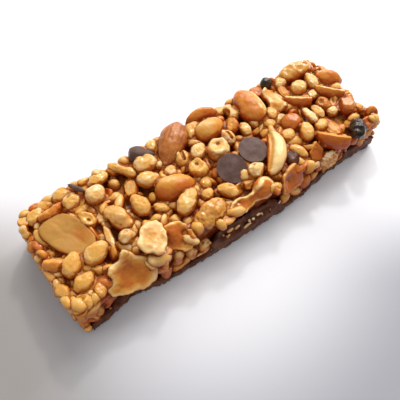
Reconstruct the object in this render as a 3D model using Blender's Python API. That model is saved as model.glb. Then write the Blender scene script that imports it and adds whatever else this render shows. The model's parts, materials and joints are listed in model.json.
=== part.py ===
"""A nut-and-crisp protein bar on a dark chocolate base.

Metres, +Z up. X runs along the bar, Y across it, and the bar rests on z = 0. The sizes below are in
millimetres, and every mesh is scaled to metres as it is finished.
"""
import math
import random

import bmesh
import bpy
from mathutils import Euler, Matrix, Vector
from mathutils.bvhtree import BVHTree

MM = 0.001

# The bar
BAR_LENGTH = 100.0
BAR_WIDTH = 34.6
BASE_THICKNESS = 2.7
BASE_CELLS = 26, 6
BASE_INSET, BASE_BULGE, BASE_CORNER = 0.5, 0.35, 0.016
CORE_FLOOR, CORE_TOP = 2.0, 11.5
CORE_CELLS = 14, 4
CORE_INSET = 2.3
GAP = 0.32

# The near side: it swells in its middle, has a bay behind the big flake and a hollow in the core under the
# curled flake, and steps back towards the right end
SWELL_HALF, SWELL_DEPTH = 16.0, 0.8
BAY_X, BAY_HALF, BAY_DEPTH = -36.0, 6.0, 2.2
HOLLOW_X, HOLLOW_HALF, HOLLOW_DEPTH = -5.0, 7.0, 1.5
STEP_START, STEP_END, STEP_DEPTH = 16.0, 34.0, 2.0

# The ends: both have round corners, and the right one steps in on its near half, but for its foot
END_BULGE = 0.8
CORNER_START, CORNER_END, CORNER_DEPTH = 10.0, 17.0, 1.6
RIGHT_STEP_START, RIGHT_STEP_END, RIGHT_STEP = 0.0, 7.0, 1.5
FOOT_START, FOOT_END, FOOT_DEPTH = -7.0, -12.0, 1.1

# Heights of the chocolate where it shows on the near side: (from x, to x, height above the base)
NEAR_RISES = ((-12.0, 3.0, 5.6), (3.0, 11.0, 4.2), (11.0, 24.0, 2.8), (36.0, 50.0, 2.2))
RISE_START_Y, RISE_END_Y = -10.5, -14.5
RISE_SOFT = 1.5

# Grain meshes
GRAIN_SIDES, GRAIN_RINGS = 5, 4
SMALLEST_GRAIN = 2.2
SIT = 0.26
FLAT_ANGLE = math.radians(0.6)
SEED = 27

# Large pieces: name, shape, material, centre (x, y, z), size (long, wide, thick), and turns in degrees:
# roll about the long axis, pitch about the wide axis, heading about +Z
LARGE_PIECES = (
    ("pale_slice", "slab_nut", "nut_pale", (-41.0, 2.6, 12.5), (15.0, 8.6, 3.0), (0, 2, -65)),
    ("flake_near_left", "flake", "nut_roasted", (-34.1, -13.4, 10.9), (12.6, 10.4, 1.3), (42, 0, -2)),
    ("glazed_lump", "lump", "nut_glazed", (-28.8, 0.6, 12.5), (9.6, 5.4, 4.4), (0, 8, 104)),
    ("chocolate_shaving", "sliver", "chocolate", (-33.0, 13.2, 14.2), (4.8, 1.3, 1.1), (15, 10, -55)),
    ("flake_cupped", "cup", "nut_roasted", (-24.4, -9.4, 12.9), (9.2, 6.4, 1.3), (6, 4, 58)),
    ("flake_folded_left", "flake", "nut_roasted", (-18.6, -12.3, 11.6), (7.6, 6.2, 1.4), (30, 6, -30)),
    ("flake_wrinkled", "lump", "nut_glazed", (-9.3, -11.8, 12.2), (10.0, 6.0, 3.4), (24, -2, 10)),
    ("flake_curled", "wave", "nut_roasted", (2.1, -13.6, 12.0), (13.8, 5.8, 1.5), (38, 3, 3)),
    ("chip_on_its_side", "chip", "chocolate", (-13.6, 14.4, 11.0), (6.8, 6.8, 4.4), (164, -18, 0)),
    ("almond", "almond", "almond_skin", (-4.8, 13.2, 13.0), (14.0, 7.4, 6.2), (0, -3, 42)),
    ("peanut_half_tilted", "half", "nut_roasted", (-12.2, -0.2, 12.4), (10.8, 7.0, 5.0), (28, 0, -12)),
    ("peanut_half_far", "half", "nut_roasted", (7.2, 15.5, 12.4), (10.2, 3.4, 4.8), (-20, 0, -6)),
    ("peanut_half_large", "half", "nut_roasted", (6.4, 10.0, 12.8), (9.4, 6.2, 4.6), (8, 4, 12)),
    ("peanut_whole", "almond", "nut_roasted", (20.6, 10.8, 12.9), (13.2, 8.0, 6.4), (0, 6, 80)),
    ("chip_flat_left", "chip", "chocolate", (2.8, -4.9, 13.7), (8.2, 8.2, 4.2), (24, -4, 0)),
    ("chip_flat_right", "chip", "chocolate", (11.0, -3.0, 13.9), (8.0, 8.0, 4.0), (10, 2, 0)),
    ("nut_crescent", "crescent", "nut_pale", (16.2, -6.9, 13.4), (15.6, 4.8, 4.2), (-24, 4, 50)),
    ("chocolate_chunk", "lump", "chocolate", (19.4, -9.7, 10.6), (6.0, 3.4, 3.6), (0, 4, 52)),
    ("flake_side", "flake", "nut_skin", (15.0, -14.4, 9.3), (8.2, 4.8, 1.4), (58, 0, 14)),
    ("flake_vee", "wave", "nut_roasted", (22.6, -14.0, 9.0), (5.8, 3.4, 1.2), (44, 4, -16)),
    ("flake_twisted", "twist", "nut_roasted", (28.0, 8.4, 12.9), (8.6, 5.2, 1.9), (8, 0, 76)),
    ("chip_far_right", "chip", "chocolate", (30.7, 15.1, 11.4), (4.2, 4.2, 3.2), (150, 0, 0)),
    ("peanut_glazed", "almond", "nut_glazed", (41.2, 13.8, 12.6), (11.6, 6.0, 5.4), (0, 0, -3)),
    ("peanut_wedge_mid", "wedge", "nut_roasted", (33.9, 4.2, 12.6), (8.0, 4.4, 4.4), (-34, 0, -39)),
    ("peanut_end", "half", "nut_roasted", (47.6, 6.2, 12.0), (8.4, 5.6, 4.8), (-8, 0, -40)),
    ("peanut_wedge_right", "wedge", "nut_roasted", (44.0, 1.8, 12.4), (9.2, 4.4, 4.4), (-34, 2, -50)),
    ("peanut_round", "lump", "nut_skin", (26.6, -0.9, 12.3), (6.8, 6.0, 5.0), (0, 4, 30)),
    ("peanut_red_right", "lump", "nut_skin", (44.0, -5.2, 12.0), (6.4, 5.4, 4.8), (0, 0, 60)),
    ("chip_glazed", "lump", "chocolate", (40.8, -12.9, 12.0), (7.6, 4.6, 4.4), (10, 4, 50)),
    ("peanut_wedge_near", "wedge", "nut_roasted", (32.7, -11.8, 12.2), (9.6, 4.6, 4.6), (-34, 4, -44)),
    ("flake_red", "flake", "nut_skin", (25.8, -11.7, 10.3), (5.0, 5.0, 1.5), (44, 0, 6)),
)

# The way each large piece leaves its pocket: straight up, or up and out where it lies over the near side
WAY_IN_TOP, WAY_IN_SIDE, SIDE_PIECE_Y = (0, 0, 4), (0, -3, 3), -11.6

# Small pieces that show: shape, x, y, height of the centre, long, wide, heading in degrees
PLACED_GRAINS = (
    ("nut", -41.6, 11.6, 12.4, 7.6, 4.6, 12),
    ("nut", -32.4, 14.6, 11.6, 6.0, 3.4, -10),
    ("nut", -48.2, 9.2, 11.4, 5.6, 3.6, 88),
    ("nut", -48.4, 3.4, 11.7, 6.2, 5.2, 20),
    ("nut", -47.4, -1.8, 12.0, 6.4, 5.0, -34),
    ("nut", -41.6, -14.2, 8.2, 5.6, 3.4, 20),
    ("nut", -47.2, -14.4, 6.6, 6.0, 3.8, 70),
    ("nut", -25.2, 7.8, 12.8, 5.8, 4.2, 78),
    ("nut", -21.4, 6.2, 12.0, 5.4, 3.8, 70),
    ("nut", -18.8, 15.0, 11.4, 4.6, 3.4, 20),
    ("nut", 12.2, 8.0, 12.2, 5.6, 4.8, 60),
    ("nut", 17.2, 2.0, 12.4, 5.0, 4.6, 30),
    ("nut", 26.2, 14.2, 11.8, 5.0, 4.2, -30),
    ("nut", 33.0, 9.6, 12.0, 5.4, 2.8, 88),
    ("nut", 48.8, 12.2, 11.8, 4.8, 4.2, 60),
    ("nut", 35.0, -9.2, 11.8, 5.8, 3.8, 86),
    ("nut", 38.6, -8.0, 12.2, 6.2, 4.2, 78),
    ("nut", 46.4, -8.8, 11.6, 5.6, 4.6, 84),
    ("nut", 44.8, -13.6, 9.2, 5.4, 4.2, 60),
    ("crisp", -45.2, 13.0, 11.6, 5.4, 4.2, 30),
    ("crisp", -41.8, 14.8, 11.0, 6.6, 3.6, 5),
    ("crisp", -37.2, 14.6, 11.8, 5.2, 4.2, -10),
    ("crisp", -36.0, 11.4, 12.2, 5.2, 4.4, 30),
    ("crisp", -30.0, 9.4, 13.0, 5.8, 5.2, 40),
    ("crisp", -34.8, 8.0, 11.4, 5.0, 3.2, 10),
    ("crisp", -35.2, 4.4, 12.2, 5.4, 3.8, -70),
    ("crisp", -44.0, -4.6, 13.0, 6.6, 4.8, 42),
    ("crisp", -38.0, -5.4, 13.2, 7.0, 5.2, 22),
    ("crisp", -43.8, -9.8, 12.2, 5.8, 4.4, 18),
    ("crisp", -48.8, -8.6, 11.6, 5.0, 3.2, 98),
    ("crisp", -46.4, -13.6, 11.0, 5.6, 4.2, 8),
    ("crisp", -41.6, -13.0, 11.2, 4.2, 3.2, 60),
    ("crisp", -29.8, -5.4, 12.4, 4.4, 3.8, 20),
    ("crisp", -33.2, -2.8, 12.2, 6.8, 2.2, 80),
    ("crisp", -27.2, 13.2, 12.6, 6.2, 3.6, 6),
    ("crisp", -26.6, 15.0, 11.4, 5.6, 3.4, 0),
    ("crisp", -20.6, 12.2, 12.8, 8.4, 3.6, -58),
    ("crisp", -14.6, 10.4, 12.6, 6.6, 5.6, 10),
    ("crisp", -9.8, 14.6, 12.4, 4.4, 3.6, 30),
    ("crisp", -10.6, 8.6, 12.2, 5.0, 3.0, 15),
    ("crisp", -10.2, 4.8, 12.0, 4.0, 3.6, 40),
    ("crisp", -16.6, 5.6, 12.8, 6.4, 4.8, -10),
    ("crisp", -5.6, 6.6, 12.2, 5.0, 4.4, 70),
    ("crisp", -0.8, 5.6, 12.8, 6.4, 4.2, 36),
    ("crisp", -4.0, 1.0, 12.6, 5.6, 5.0, 88),
    ("crisp", -22.4, 0.2, 12.9, 7.0, 4.5, 94),
    ("crisp", -18.4, -3.2, 12.2, 4.4, 3.0, -50),
    ("crisp", -12.2, -5.8, 13.0, 9.0, 5.0, 36),
    ("crisp", -6.6, -6.6, 12.2, 3.8, 3.0, 20),
    ("crisp", -4.8, -3.2, 11.8, 4.2, 3.4, 60),
    ("crisp", -27.6, -4.4, 11.6, 3.8, 3.2, 50),
    ("crisp", -1.6, -8.8, 12.4, 5.8, 3.8, -60),
    ("crisp", 2.4, 13.2, 12.0, 7.4, 4.6, 36),
    ("crisp", 13.2, 14.8, 11.4, 5.2, 3.6, 10),
    ("crisp", 15.2, 12.0, 12.4, 6.0, 4.2, 88),
    ("crisp", 14.4, 4.6, 12.8, 5.0, 3.2, 80),
    ("crisp", 18.2, 5.8, 12.2, 4.0, 3.2, 80),
    ("crisp", 24.2, 5.0, 12.6, 4.8, 3.6, 70),
    ("crisp", 3.8, 2.8, 13.0, 7.2, 6.2, 60),
    ("crisp", 8.6, 4.6, 12.8, 4.8, 4.2, 80),
    ("crisp", 8.0, -8.2, 12.8, 4.8, 4.2, 40),
    ("crisp", 22.0, 2.4, 11.8, 4.2, 3.4, 0),
    ("crisp", 22.8, -4.0, 12.4, 5.0, 4.2, 20),
    ("crisp", 21.6, -9.6, 12.2, 5.6, 3.4, -62),
    ("crisp", 47.8, -12.6, 9.6, 4.6, 3.4, 84),
    ("crisp", 34.8, 13.2, 11.8, 5.0, 4.0, 30),
    ("crisp", 37.4, 8.2, 12.6, 5.8, 4.8, 10),
    ("crisp", 42.0, 7.8, 12.8, 6.6, 3.8, 76),
    ("crisp", 39.2, 4.0, 12.0, 4.0, 3.0, 40),
    ("crisp", 32.2, -2.2, 13.0, 6.8, 2.9, 82),
    ("crisp", 35.2, -2.2, 12.8, 5.6, 2.7, 80),
    ("crisp", 38.8, -0.8, 12.4, 4.6, 3.8, 88),
    ("crisp", 39.4, -4.2, 12.0, 3.6, 3.2, 0),
    ("crisp", 27.4, -6.2, 13.2, 6.2, 4.2, 56),
    ("crisp", 32.8, -6.4, 12.6, 5.0, 3.4, 20),
    ("crisp", 35.2, -13.6, 11.0, 3.6, 3.0, 0),
)

# Fill: spacing of the small pieces on the top, and the rows of them down the sides
TOP_SPACING = 5.2
SIDE_SPACING = 5.9
SIDE_INSET, SIDE_CLEAR = 2.0, 1.2
SIDE_LEVELS = (5.4, 9.6)
FILL_LONG = (4.0, 5.6)
FILL_WIDE = (3.2, 4.2)

COLOURS = {
    "chocolate": ((0.035, 0.016, 0.012), 0.42),
    "almond_skin": ((0.36, 0.11, 0.04), 0.35),
    "nut_pale": ((0.78, 0.52, 0.24), 0.45),
    "nut_roasted": ((0.66, 0.33, 0.10), 0.38),
    "nut_glazed": ((0.62, 0.32, 0.11), 0.22),
    "nut_skin": ((0.52, 0.17, 0.05), 0.32),
    "crisp_and_nut": ((0.68, 0.40, 0.15), 0.40),
}


def ramp(value, start, end):
    """0 before start, 1 after end, smooth between."""
    t = min(max((value - start) / (end - start), 0.0), 1.0)
    return t * t * (3.0 - 2.0 * t)


def bump(value, centre, half):
    return math.exp(-((value - centre) / half) ** 2)


def near_edge(x):
    """The bar's near side at this x."""
    swell = SWELL_DEPTH * (1.0 - bump(x, 0.0, SWELL_HALF))
    bay = BAY_DEPTH * bump(x, BAY_X, BAY_HALF)
    step = STEP_DEPTH * ramp(x, STEP_START, STEP_END)
    return -BAR_WIDTH / 2 + swell + bay + step


def far_edge(x):
    return BAR_WIDTH / 2 - 0.4 - 0.4 * math.sin(x * 0.21)


def left_end(y):
    return -BAR_LENGTH / 2 - END_BULGE + CORNER_DEPTH * ramp(abs(y), CORNER_START, CORNER_END)


def right_end(y):
    step = RIGHT_STEP * (1.0 - ramp(y, RIGHT_STEP_START, RIGHT_STEP_END))
    foot = FOOT_DEPTH * ramp(y, FOOT_START, FOOT_END)
    corner = CORNER_DEPTH * ramp(y, CORNER_START, CORNER_END)
    return BAR_LENGTH / 2 + END_BULGE - step + foot - corner


def base_top(x, y):
    """The chocolate is a level layer that climbs the near side in places."""
    rise = 0.0
    for start, end, height in NEAR_RISES:
        begun = ramp(x, start - RISE_SOFT, start + RISE_SOFT)
        ended = ramp(x, end - RISE_SOFT, end + RISE_SOFT)
        rise += height * begun * (1.0 - ended)
    wave = 0.35 * math.sin(x * 0.43 + 0.8) * math.cos(y * 0.31)
    return BASE_THICKNESS + wave + rise * ramp(y, RISE_START_Y, RISE_END_Y)


def core_top(x, y):
    return CORE_TOP + 0.35 * math.sin(x * 0.37 + 1.0) * math.cos(y * 0.29)


def material(name):
    found = bpy.data.materials.get(name)
    if found:
        return found
    colour, roughness = COLOURS[name]
    made = bpy.data.materials.new(name)
    made.use_nodes = True
    shader = made.node_tree.nodes["Principled BSDF"]
    shader.inputs["Base Color"].default_value = (*colour, 1.0)
    shader.inputs["Roughness"].default_value = roughness
    shader.inputs["Metallic"].default_value = 0.0
    return made


def finish(bm, name, colour, collection):
    """Turns a bmesh in millimetres into a named object in metres."""
    bmesh.ops.scale(bm, vec=(MM, MM, MM), verts=bm.verts)
    bmesh.ops.recalc_face_normals(bm, faces=bm.faces)
    bmesh.ops.triangulate(bm, faces=bm.faces)
    mesh = bpy.data.meshes.new(name)
    bm.to_mesh(mesh)
    bm.free()
    mesh.materials.append(material(colour))
    made = bpy.data.objects.new(name, mesh)
    collection.objects.link(made)
    return made


def slice_box(low, high, stations_x, stations_y, stations_z=()):
    """A box cut into cells at the given stations along each axis."""
    bm = bmesh.new()
    bmesh.ops.create_cube(bm, size=1.0)
    size = Vector(high) - Vector(low)
    middle = (Vector(high) + Vector(low)) / 2
    bmesh.ops.scale(bm, vec=size, verts=bm.verts)
    bmesh.ops.translate(bm, vec=middle, verts=bm.verts)
    for axis, stations in enumerate((stations_x, stations_y, stations_z)):
        normal = Vector((axis == 0, axis == 1, axis == 2))
        for station in stations:
            geometry = bm.verts[:] + bm.edges[:] + bm.faces[:]
            bmesh.ops.bisect_plane(bm, geom=geometry, plane_co=normal * station, plane_no=normal)
    return bm


def spread(low, high, cells):
    """The inner stations that part a length into equal cells."""
    return [low + (high - low) * i / cells for i in range(1, cells)]


def chocolate_base(collection):
    """The layer under the bar, with a wavy top, a bulging side and a flat underside."""
    cells_x, cells_y = BASE_CELLS
    bm = slice_box((-1, -1, 0), (1, 1, 1), spread(-1, 1, cells_x), spread(-1, 1, cells_y), (0.5,))
    for vert in bm.verts:
        u, v, w = vert.co
        x = u * BAR_LENGTH / 2
        near, far = near_edge(x) + BASE_INSET, far_edge(x) - BASE_INSET
        y = near + (far - near) * (v + 1) / 2
        x = u * (right_end(y) - BASE_INSET) if u > 0 else -u * (left_end(y) + BASE_INSET)
        bulge = BASE_BULGE * (1.0 - abs(2 * w - 1))
        corner = 1.0 - BASE_CORNER * v ** 8
        vert.co = ((x + math.copysign(bulge, u) * (abs(u) > 0.99)) * corner,
                   y + math.copysign(bulge, v) * (abs(v) > 0.99), w * base_top(x, y))
    under = [face for face in bm.faces if all(vert.co.z < 0.001 for vert in face.verts)]
    bmesh.ops.dissolve_faces(bm, faces=under)
    return finish(bm, "chocolate_base", "chocolate", collection)


def bare_core(collection):
    """The block that carries the pieces. It starts below the top of the chocolate, which is cut from it."""
    cells_x, cells_y = CORE_CELLS
    bm = slice_box((-1, -1, 0), (1, 1, 1), spread(-1, 1, cells_x), spread(-1, 1, cells_y))
    for vert in bm.verts:
        u, v, w = vert.co
        x = u * (BAR_LENGTH / 2 - CORE_INSET)
        near = near_edge(x) + CORE_INSET + HOLLOW_DEPTH * bump(x, HOLLOW_X, HOLLOW_HALF)
        far = far_edge(x) - CORE_INSET
        y = near + (far - near) * (v + 1) / 2
        x = u * (right_end(y) - CORE_INSET) if u > 0 else -u * (left_end(y) + CORE_INSET)
        vert.co = (x, y, CORE_FLOOR + w * (core_top(x, y) - CORE_FLOOR))
    return finish(bm, "nut_and_crisp_mass", "crisp_and_nut", collection)


def ball(sides, rings, size):
    """A spheroid whose poles lie along X."""
    bm = bmesh.new()
    bmesh.ops.create_uvsphere(bm, u_segments=sides, v_segments=rings, radius=0.5)
    bmesh.ops.rotate(bm, matrix=Matrix.Rotation(math.pi / 2, 3, "Y"), verts=bm.verts)
    bmesh.ops.scale(bm, vec=size, verts=bm.verts)
    return bm


def slab(size, cells_x, cells_y):
    """A thin plate with a rounded outline."""
    bm = slice_box((-1, -1, -1), (1, 1, 1), spread(-1, 1, cells_x), spread(-1, 1, cells_y))
    for vert in bm.verts:
        u, v, w = vert.co
        x = u * math.sqrt(1 - 0.38 * v * v)
        y = v * math.sqrt(1 - 0.38 * u * u)
        edge = max(abs(u), abs(v))
        vert.co = (x * size[0] / 2, y * size[1] / 2, w * size[2] / 2 * (1.0 - 0.35 * edge ** 4))
    return bm


def cut(bm, point, normal):
    """Cuts the side that the normal points to away, and closes the cut."""
    geometry = bm.verts[:] + bm.edges[:] + bm.faces[:]
    done = bmesh.ops.bisect_plane(bm, geom=geometry, plane_co=point, plane_no=normal, clear_outer=True)
    rim = [item for item in done["geom_cut"] if isinstance(item, bmesh.types.BMEdge)]
    bmesh.ops.contextual_create(bm, geom=rim)


def half(size):
    """A nut half with its dome up and a flat underside."""
    bm = ball(9, 6, (size[0], size[1], size[2] * 1.35))
    cut(bm, (0, 0, -size[2] * 0.3), (0, 0, -1))
    return bm


def slab_nut(size):
    """A nut half with its flat face up, blunt at one end."""
    bm = ball(10, 7, (size[0], size[1], size[2] * 1.8))
    for vert in bm.verts:
        vert.co.y *= 1.0 - 0.22 * vert.co.x / size[0]
    cut(bm, (0, 0, size[2] * 0.35), (0, 0, 1))
    return bm


def wedge(size):
    """A broken nut half like a boat: its flat face up, its dome down and one end snapped off."""
    bm = ball(8, 6, (size[0] * 1.1, size[1] * 1.1, size[2] * 1.4))
    cut(bm, (0, 0, size[2] * 0.24), (0, 0.1, 1))
    cut(bm, (size[0] * 0.42, 0, 0), (1, 0.2, 0))
    return bm


def almond(size):
    """A whole nut, fuller at one end."""
    bm = ball(9, 7, size)
    for vert in bm.verts:
        fuller = 1.0 - 0.3 * vert.co.x / size[0]
        vert.co.y *= fuller
        vert.co.z *= 0.85 + 0.15 * fuller
    return bm


def lump(size):
    """An uneven lump of nut."""
    bm = ball(8, 5, size)
    for vert in bm.verts:
        swell = 1.0 + 0.09 * math.sin(vert.co.x * 1.9 + 1.0) * math.cos(vert.co.y * 1.6)
        vert.co *= swell
    return bm


def crescent(size):
    """A nut half bent along its length, thin at both ends."""
    bm = ball(8, 8, size)
    for vert in bm.verts:
        along = 2 * vert.co.x / size[0]
        vert.co.y += 1.5 * along * along
    return bm


def bent_flake(size, bend, cells_x=5, cells_y=3):
    """A thin plate lifted by bend(u, v), with u and v from -1 to 1."""
    bm = slab(size, cells_x, cells_y)
    for vert in bm.verts:
        vert.co.z += bend(2 * vert.co.x / size[0], 2 * vert.co.y / size[1])
    return bm


def flake(size):
    return bent_flake(size, lambda u, v: 0.7 * math.sin(2.2 * u + 0.7 * v) * (0.5 + 0.5 * v))


def cup(size):
    return bent_flake(size, lambda u, v: 1.5 * v * v + 0.5 * u * u)


def wave(size):
    return bent_flake(size, lambda u, v: 0.8 * math.sin(3.6 * u) - 0.5 * v * v, cells_x=7)


def twist(size):
    return bent_flake(size, lambda u, v: 1.5 * u * v - 0.5 * v * v, cells_x=6)


def sliver(size):
    bm = slice_box((-1, -1, -1), (1, 1, 1), spread(-1, 1, 3), ())
    for vert in bm.verts:
        vert.co.x *= size[0] / 2
        vert.co.y = vert.co.y * size[1] / 2 + 0.3 * math.cos(vert.co.x)
        vert.co.z *= size[2] / 2
    return bm


def chip(size):
    """A drop of chocolate with its flat base up and its point down."""
    bm = bmesh.new()
    radius, depth = size[0] / 2, size[2]
    tip = radius * 0.22
    bmesh.ops.create_cone(bm, cap_ends=True, segments=14, radius1=tip, radius2=radius, depth=depth)
    rim = [edge for edge in bm.edges if all(vert.co.z > depth * 0.49 for vert in edge.verts)]
    bmesh.ops.bevel(bm, geom=rim, offset=0.5, segments=1, affect="EDGES")
    bmesh.ops.translate(bm, vec=(0, 0, -depth * 0.45), verts=bm.verts)
    return bm


SHAPES = {
    "slab_nut": slab_nut, "half": half, "wedge": wedge, "almond": almond, "lump": lump,
    "crescent": crescent, "flake": flake, "cup": cup, "wave": wave, "twist": twist,
    "sliver": sliver, "chip": chip,
}


def crisp_grain(size):
    """A puffed grain of few faces."""
    return ball(GRAIN_SIDES, GRAIN_RINGS, size)


def nut_grain(size):
    """A bit of nut with one flat face."""
    bm = ball(GRAIN_SIDES, GRAIN_RINGS, (size[0], size[1], size[2] * 1.2))
    cut(bm, (0, 0, size[2] * 0.34), (0.25, -0.2, 1))
    return bm


def put(bm, turns, place):
    """Rolls, pitches and heads a piece, then carries it to its place."""
    angles = [math.radians(turn) for turn in turns]
    bmesh.ops.rotate(bm, matrix=Euler(angles, "XYZ").to_matrix(), verts=bm.verts)
    bmesh.ops.translate(bm, vec=place, verts=bm.verts)


def keep_inside(bm, near):
    """Moves a piece in until the bar's ends and sides hold it, with near giving the near side at an x."""
    xs = [vert.co.x for vert in bm.verts]
    ys = [vert.co.y for vert in bm.verts]
    middle_x, middle_y = sum(xs) / len(xs), sum(ys) / len(ys)
    shift_x = max(0.0, left_end(middle_y) - min(xs)) - max(0.0, max(xs) - right_end(middle_y))
    shift_y = max(0.0, near(middle_x) - min(ys)) - max(0.0, max(ys) - BAR_WIDTH / 2)
    bmesh.ops.translate(bm, vec=(shift_x, shift_y, 0), verts=bm.verts)


def grown(bm, gap):
    """A copy of a closed bmesh whose faces stand off by the gap."""
    copy = bm.copy()
    bmesh.ops.recalc_face_normals(copy, faces=copy.faces)
    copy.normal_update()
    moves = [vert.normal * gap * min(vert.calc_shell_factor(), 2.0) for vert in copy.verts]
    for vert, move in zip(copy.verts, moves):
        vert.co += move
    return copy


def pocket(stood_off, way_in):
    """The hull of a grown piece and of its copy moved along its way in, so that nothing hangs over it."""
    bm = bmesh.new()
    for vert in stood_off.verts:
        bm.verts.new(vert.co)
        bm.verts.new(vert.co + way_in)
    hull = bmesh.ops.convex_hull(bm, input=bm.verts)
    spare = set(hull["geom_interior"] + hull["geom_unused"])
    spare = [item for item in spare if isinstance(item, bmesh.types.BMVert)]
    bmesh.ops.delete(bm, geom=spare, context="VERTS")
    return bm


def large_pieces(parts, cutters):
    """Builds each large piece and its pocket cutter, and gives the trees that small pieces keep clear of."""
    trees = []
    for name, shape, colour, place, size, turns in LARGE_PIECES:
        bm = SHAPES[shape](size)
        put(bm, turns, place)
        keep_inside(bm, lambda x: -BAR_WIDTH / 2)
        stood_off = grown(bm, GAP)
        trees.append((BVHTree.FromBMesh(stood_off), Vector(place)))
        way_in = Vector(WAY_IN_SIDE if place[1] < SIDE_PIECE_Y else WAY_IN_TOP)
        finish(pocket(stood_off, way_in), name + "_pocket", colour, cutters)
        stood_off.free()
        finish(bm, name, colour, parts)
    return trees


def clear_grain(shape, place, size, turns, trees):
    """The grain moved away from, or shortened before, what it would cross; None where it has no room."""
    for scale in (1.0, 0.86, 0.72, 0.6):
        shift = Vector((0, 0, 0))
        for _ in range(4):
            bm = shape([length * scale for length in size])
            put(bm, turns, Vector(place) + shift)
            keep_inside(bm, near_edge)
            tree = BVHTree.FromBMesh(bm)
            crossed = [centre for other, centre in trees if other.overlap(tree)]
            if not crossed:
                return bm
            bm.free()
            away = Vector(place) + shift - crossed[0]
            away.z = 0
            shift += away.normalized() * 0.5 if away.length > 0.01 else Vector((0.5, 0, 0))
        if size[0] * scale * 0.86 < SMALLEST_GRAIN:
            break
    return None


def placed_grains():
    """The small pieces that show, as (shape, place, size, turns), largest first."""
    draw = random.Random(SEED)
    rows = []
    for kind, x, y, z, long, wide, heading in PLACED_GRAINS:
        turns = (draw.uniform(-20, 20), draw.uniform(-8, 8), heading)
        shape = nut_grain if kind == "nut" else crisp_grain
        rows.append((shape, (x, y, min(z, CORE_TOP + SIT * wide)), (long, wide, wide * 0.92), turns))
    return sorted(rows, key=lambda row: -row[2][0] * row[2][1])


def fill_grain(draw, place, turns):
    long, wide = draw.uniform(*FILL_LONG), draw.uniform(*FILL_WIDE)
    shape = nut_grain if draw.random() < 0.3 else crisp_grain
    return shape, place, (long, wide, wide * 0.95), turns


def top_fill(taken):
    """Lower grains on a jittered grid, wherever the top has no piece yet."""
    draw = random.Random(SEED + 1)
    rows = []
    for i in range(int(BAR_LENGTH / TOP_SPACING) + 1):
        for j in range(int(BAR_WIDTH / TOP_SPACING) + 1):
            x = -BAR_LENGTH / 2 + (i + 0.5) * TOP_SPACING + draw.uniform(-1, 1)
            y = -BAR_WIDTH / 2 + (j + 0.5) * TOP_SPACING + draw.uniform(-1, 1)
            z = CORE_TOP + draw.uniform(-0.5, 0.3)
            grain = fill_grain(draw, (x, y, z), (draw.uniform(0, 90), 0, draw.uniform(0, 180)))
            inside = near_edge(x) + 1.5 < y < far_edge(x) - 1.5 and abs(x) < BAR_LENGTH / 2 - 2
            if inside and all(math.hypot(x - a, y - b) > reach for a, b, reach in taken):
                rows.append(grain)
    return rows


def side_fill():
    """Rows of grains round the four sides, half sunk in the core."""
    draw = random.Random(SEED + 2)
    rows = []
    for level in SIDE_LEVELS:
        x = -BAR_LENGTH / 2 + 2
        while x < BAR_LENGTH / 2 - 1:
            for edge, inward in ((near_edge, 1), (far_edge, -1)):
                y = edge(x) + inward * SIDE_INSET
                z = max(level, base_top(x, y) + SIDE_CLEAR) + draw.uniform(-0.6, 0.6)
                place = (x + draw.uniform(-1, 1), y, z)
                rows.append(fill_grain(draw, place, (0, draw.uniform(-60, 60), 0)))
            x += SIDE_SPACING * draw.uniform(0.85, 1.1)
        y = -BAR_WIDTH / 2 + 3
        while y < BAR_WIDTH / 2 - 2:
            for x_end in (left_end(y) + SIDE_INSET, right_end(y) - SIDE_INSET):
                place = (x_end, y + draw.uniform(-1, 1), level + draw.uniform(-0.6, 0.6))
                rows.append(fill_grain(draw, place, (0, draw.uniform(-60, 60), 90)))
            y += SIDE_SPACING * draw.uniform(0.85, 1.1)
    return rows


def grains(collection, trees):
    """Builds every small piece that has room as its own closed mesh."""
    placed = placed_grains()
    taken = [(row[1][0], row[1][1], 0.42 * row[2][0] + 0.8) for row in placed]
    taken += [(piece[3][0], piece[3][1], 0.36 * piece[4][0] + 0.8) for piece in LARGE_PIECES]
    count = 0
    for shape, place, size, turns in placed + side_fill() + top_fill(taken):
        bm = clear_grain(shape, place, size, turns, trees)
        if bm:
            finish(bm, f"grain_{count:03d}", "crisp_and_nut", collection)
            count += 1


def join(target, collection, operation):
    """Applies one Boolean of a whole collection to the target, and removes the collection's objects."""
    modifier = target.modifiers.new("join", "BOOLEAN")
    modifier.operand_type = "COLLECTION"
    modifier.collection = collection
    modifier.operation = operation
    modifier.solver = "MANIFOLD"
    bpy.context.view_layer.update()
    result = bpy.data.meshes.new_from_object(target.evaluated_get(bpy.context.evaluated_depsgraph_get()))
    target.modifiers.clear()
    target.data = result
    for item in list(collection.objects):
        bpy.data.objects.remove(item)
    bpy.data.collections.remove(collection)


def islands(bm):
    """The connected pieces of a bmesh, as lists of faces."""
    left = set(bm.faces)
    while left:
        found, front = [], [left.pop()]
        while front:
            face = front.pop()
            found.append(face)
            near = {other for edge in face.edges for other in edge.link_faces} & left
            left -= near
            front.extend(near)
        yield found


def keep_largest(target):
    """Drops loose scraps and fills sealed hollows, so that only the outer skin of the largest piece stays.

    Cells of one flat face that the joining split are made whole again.
    """
    bm = bmesh.new()
    bm.from_mesh(target.data)
    pieces = sorted(islands(bm), key=len)
    for piece in pieces[:-1]:
        bmesh.ops.delete(bm, geom=piece, context="FACES")
    bmesh.ops.dissolve_limit(bm, angle_limit=FLAT_ANGLE, verts=bm.verts, edges=bm.edges)
    bmesh.ops.triangulate(bm, faces=bm.faces)
    bm.to_mesh(target.data)
    bm.free()


def new_collection(name):
    made = bpy.data.collections.new(name)
    bpy.context.scene.collection.children.link(made)
    return made


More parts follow.
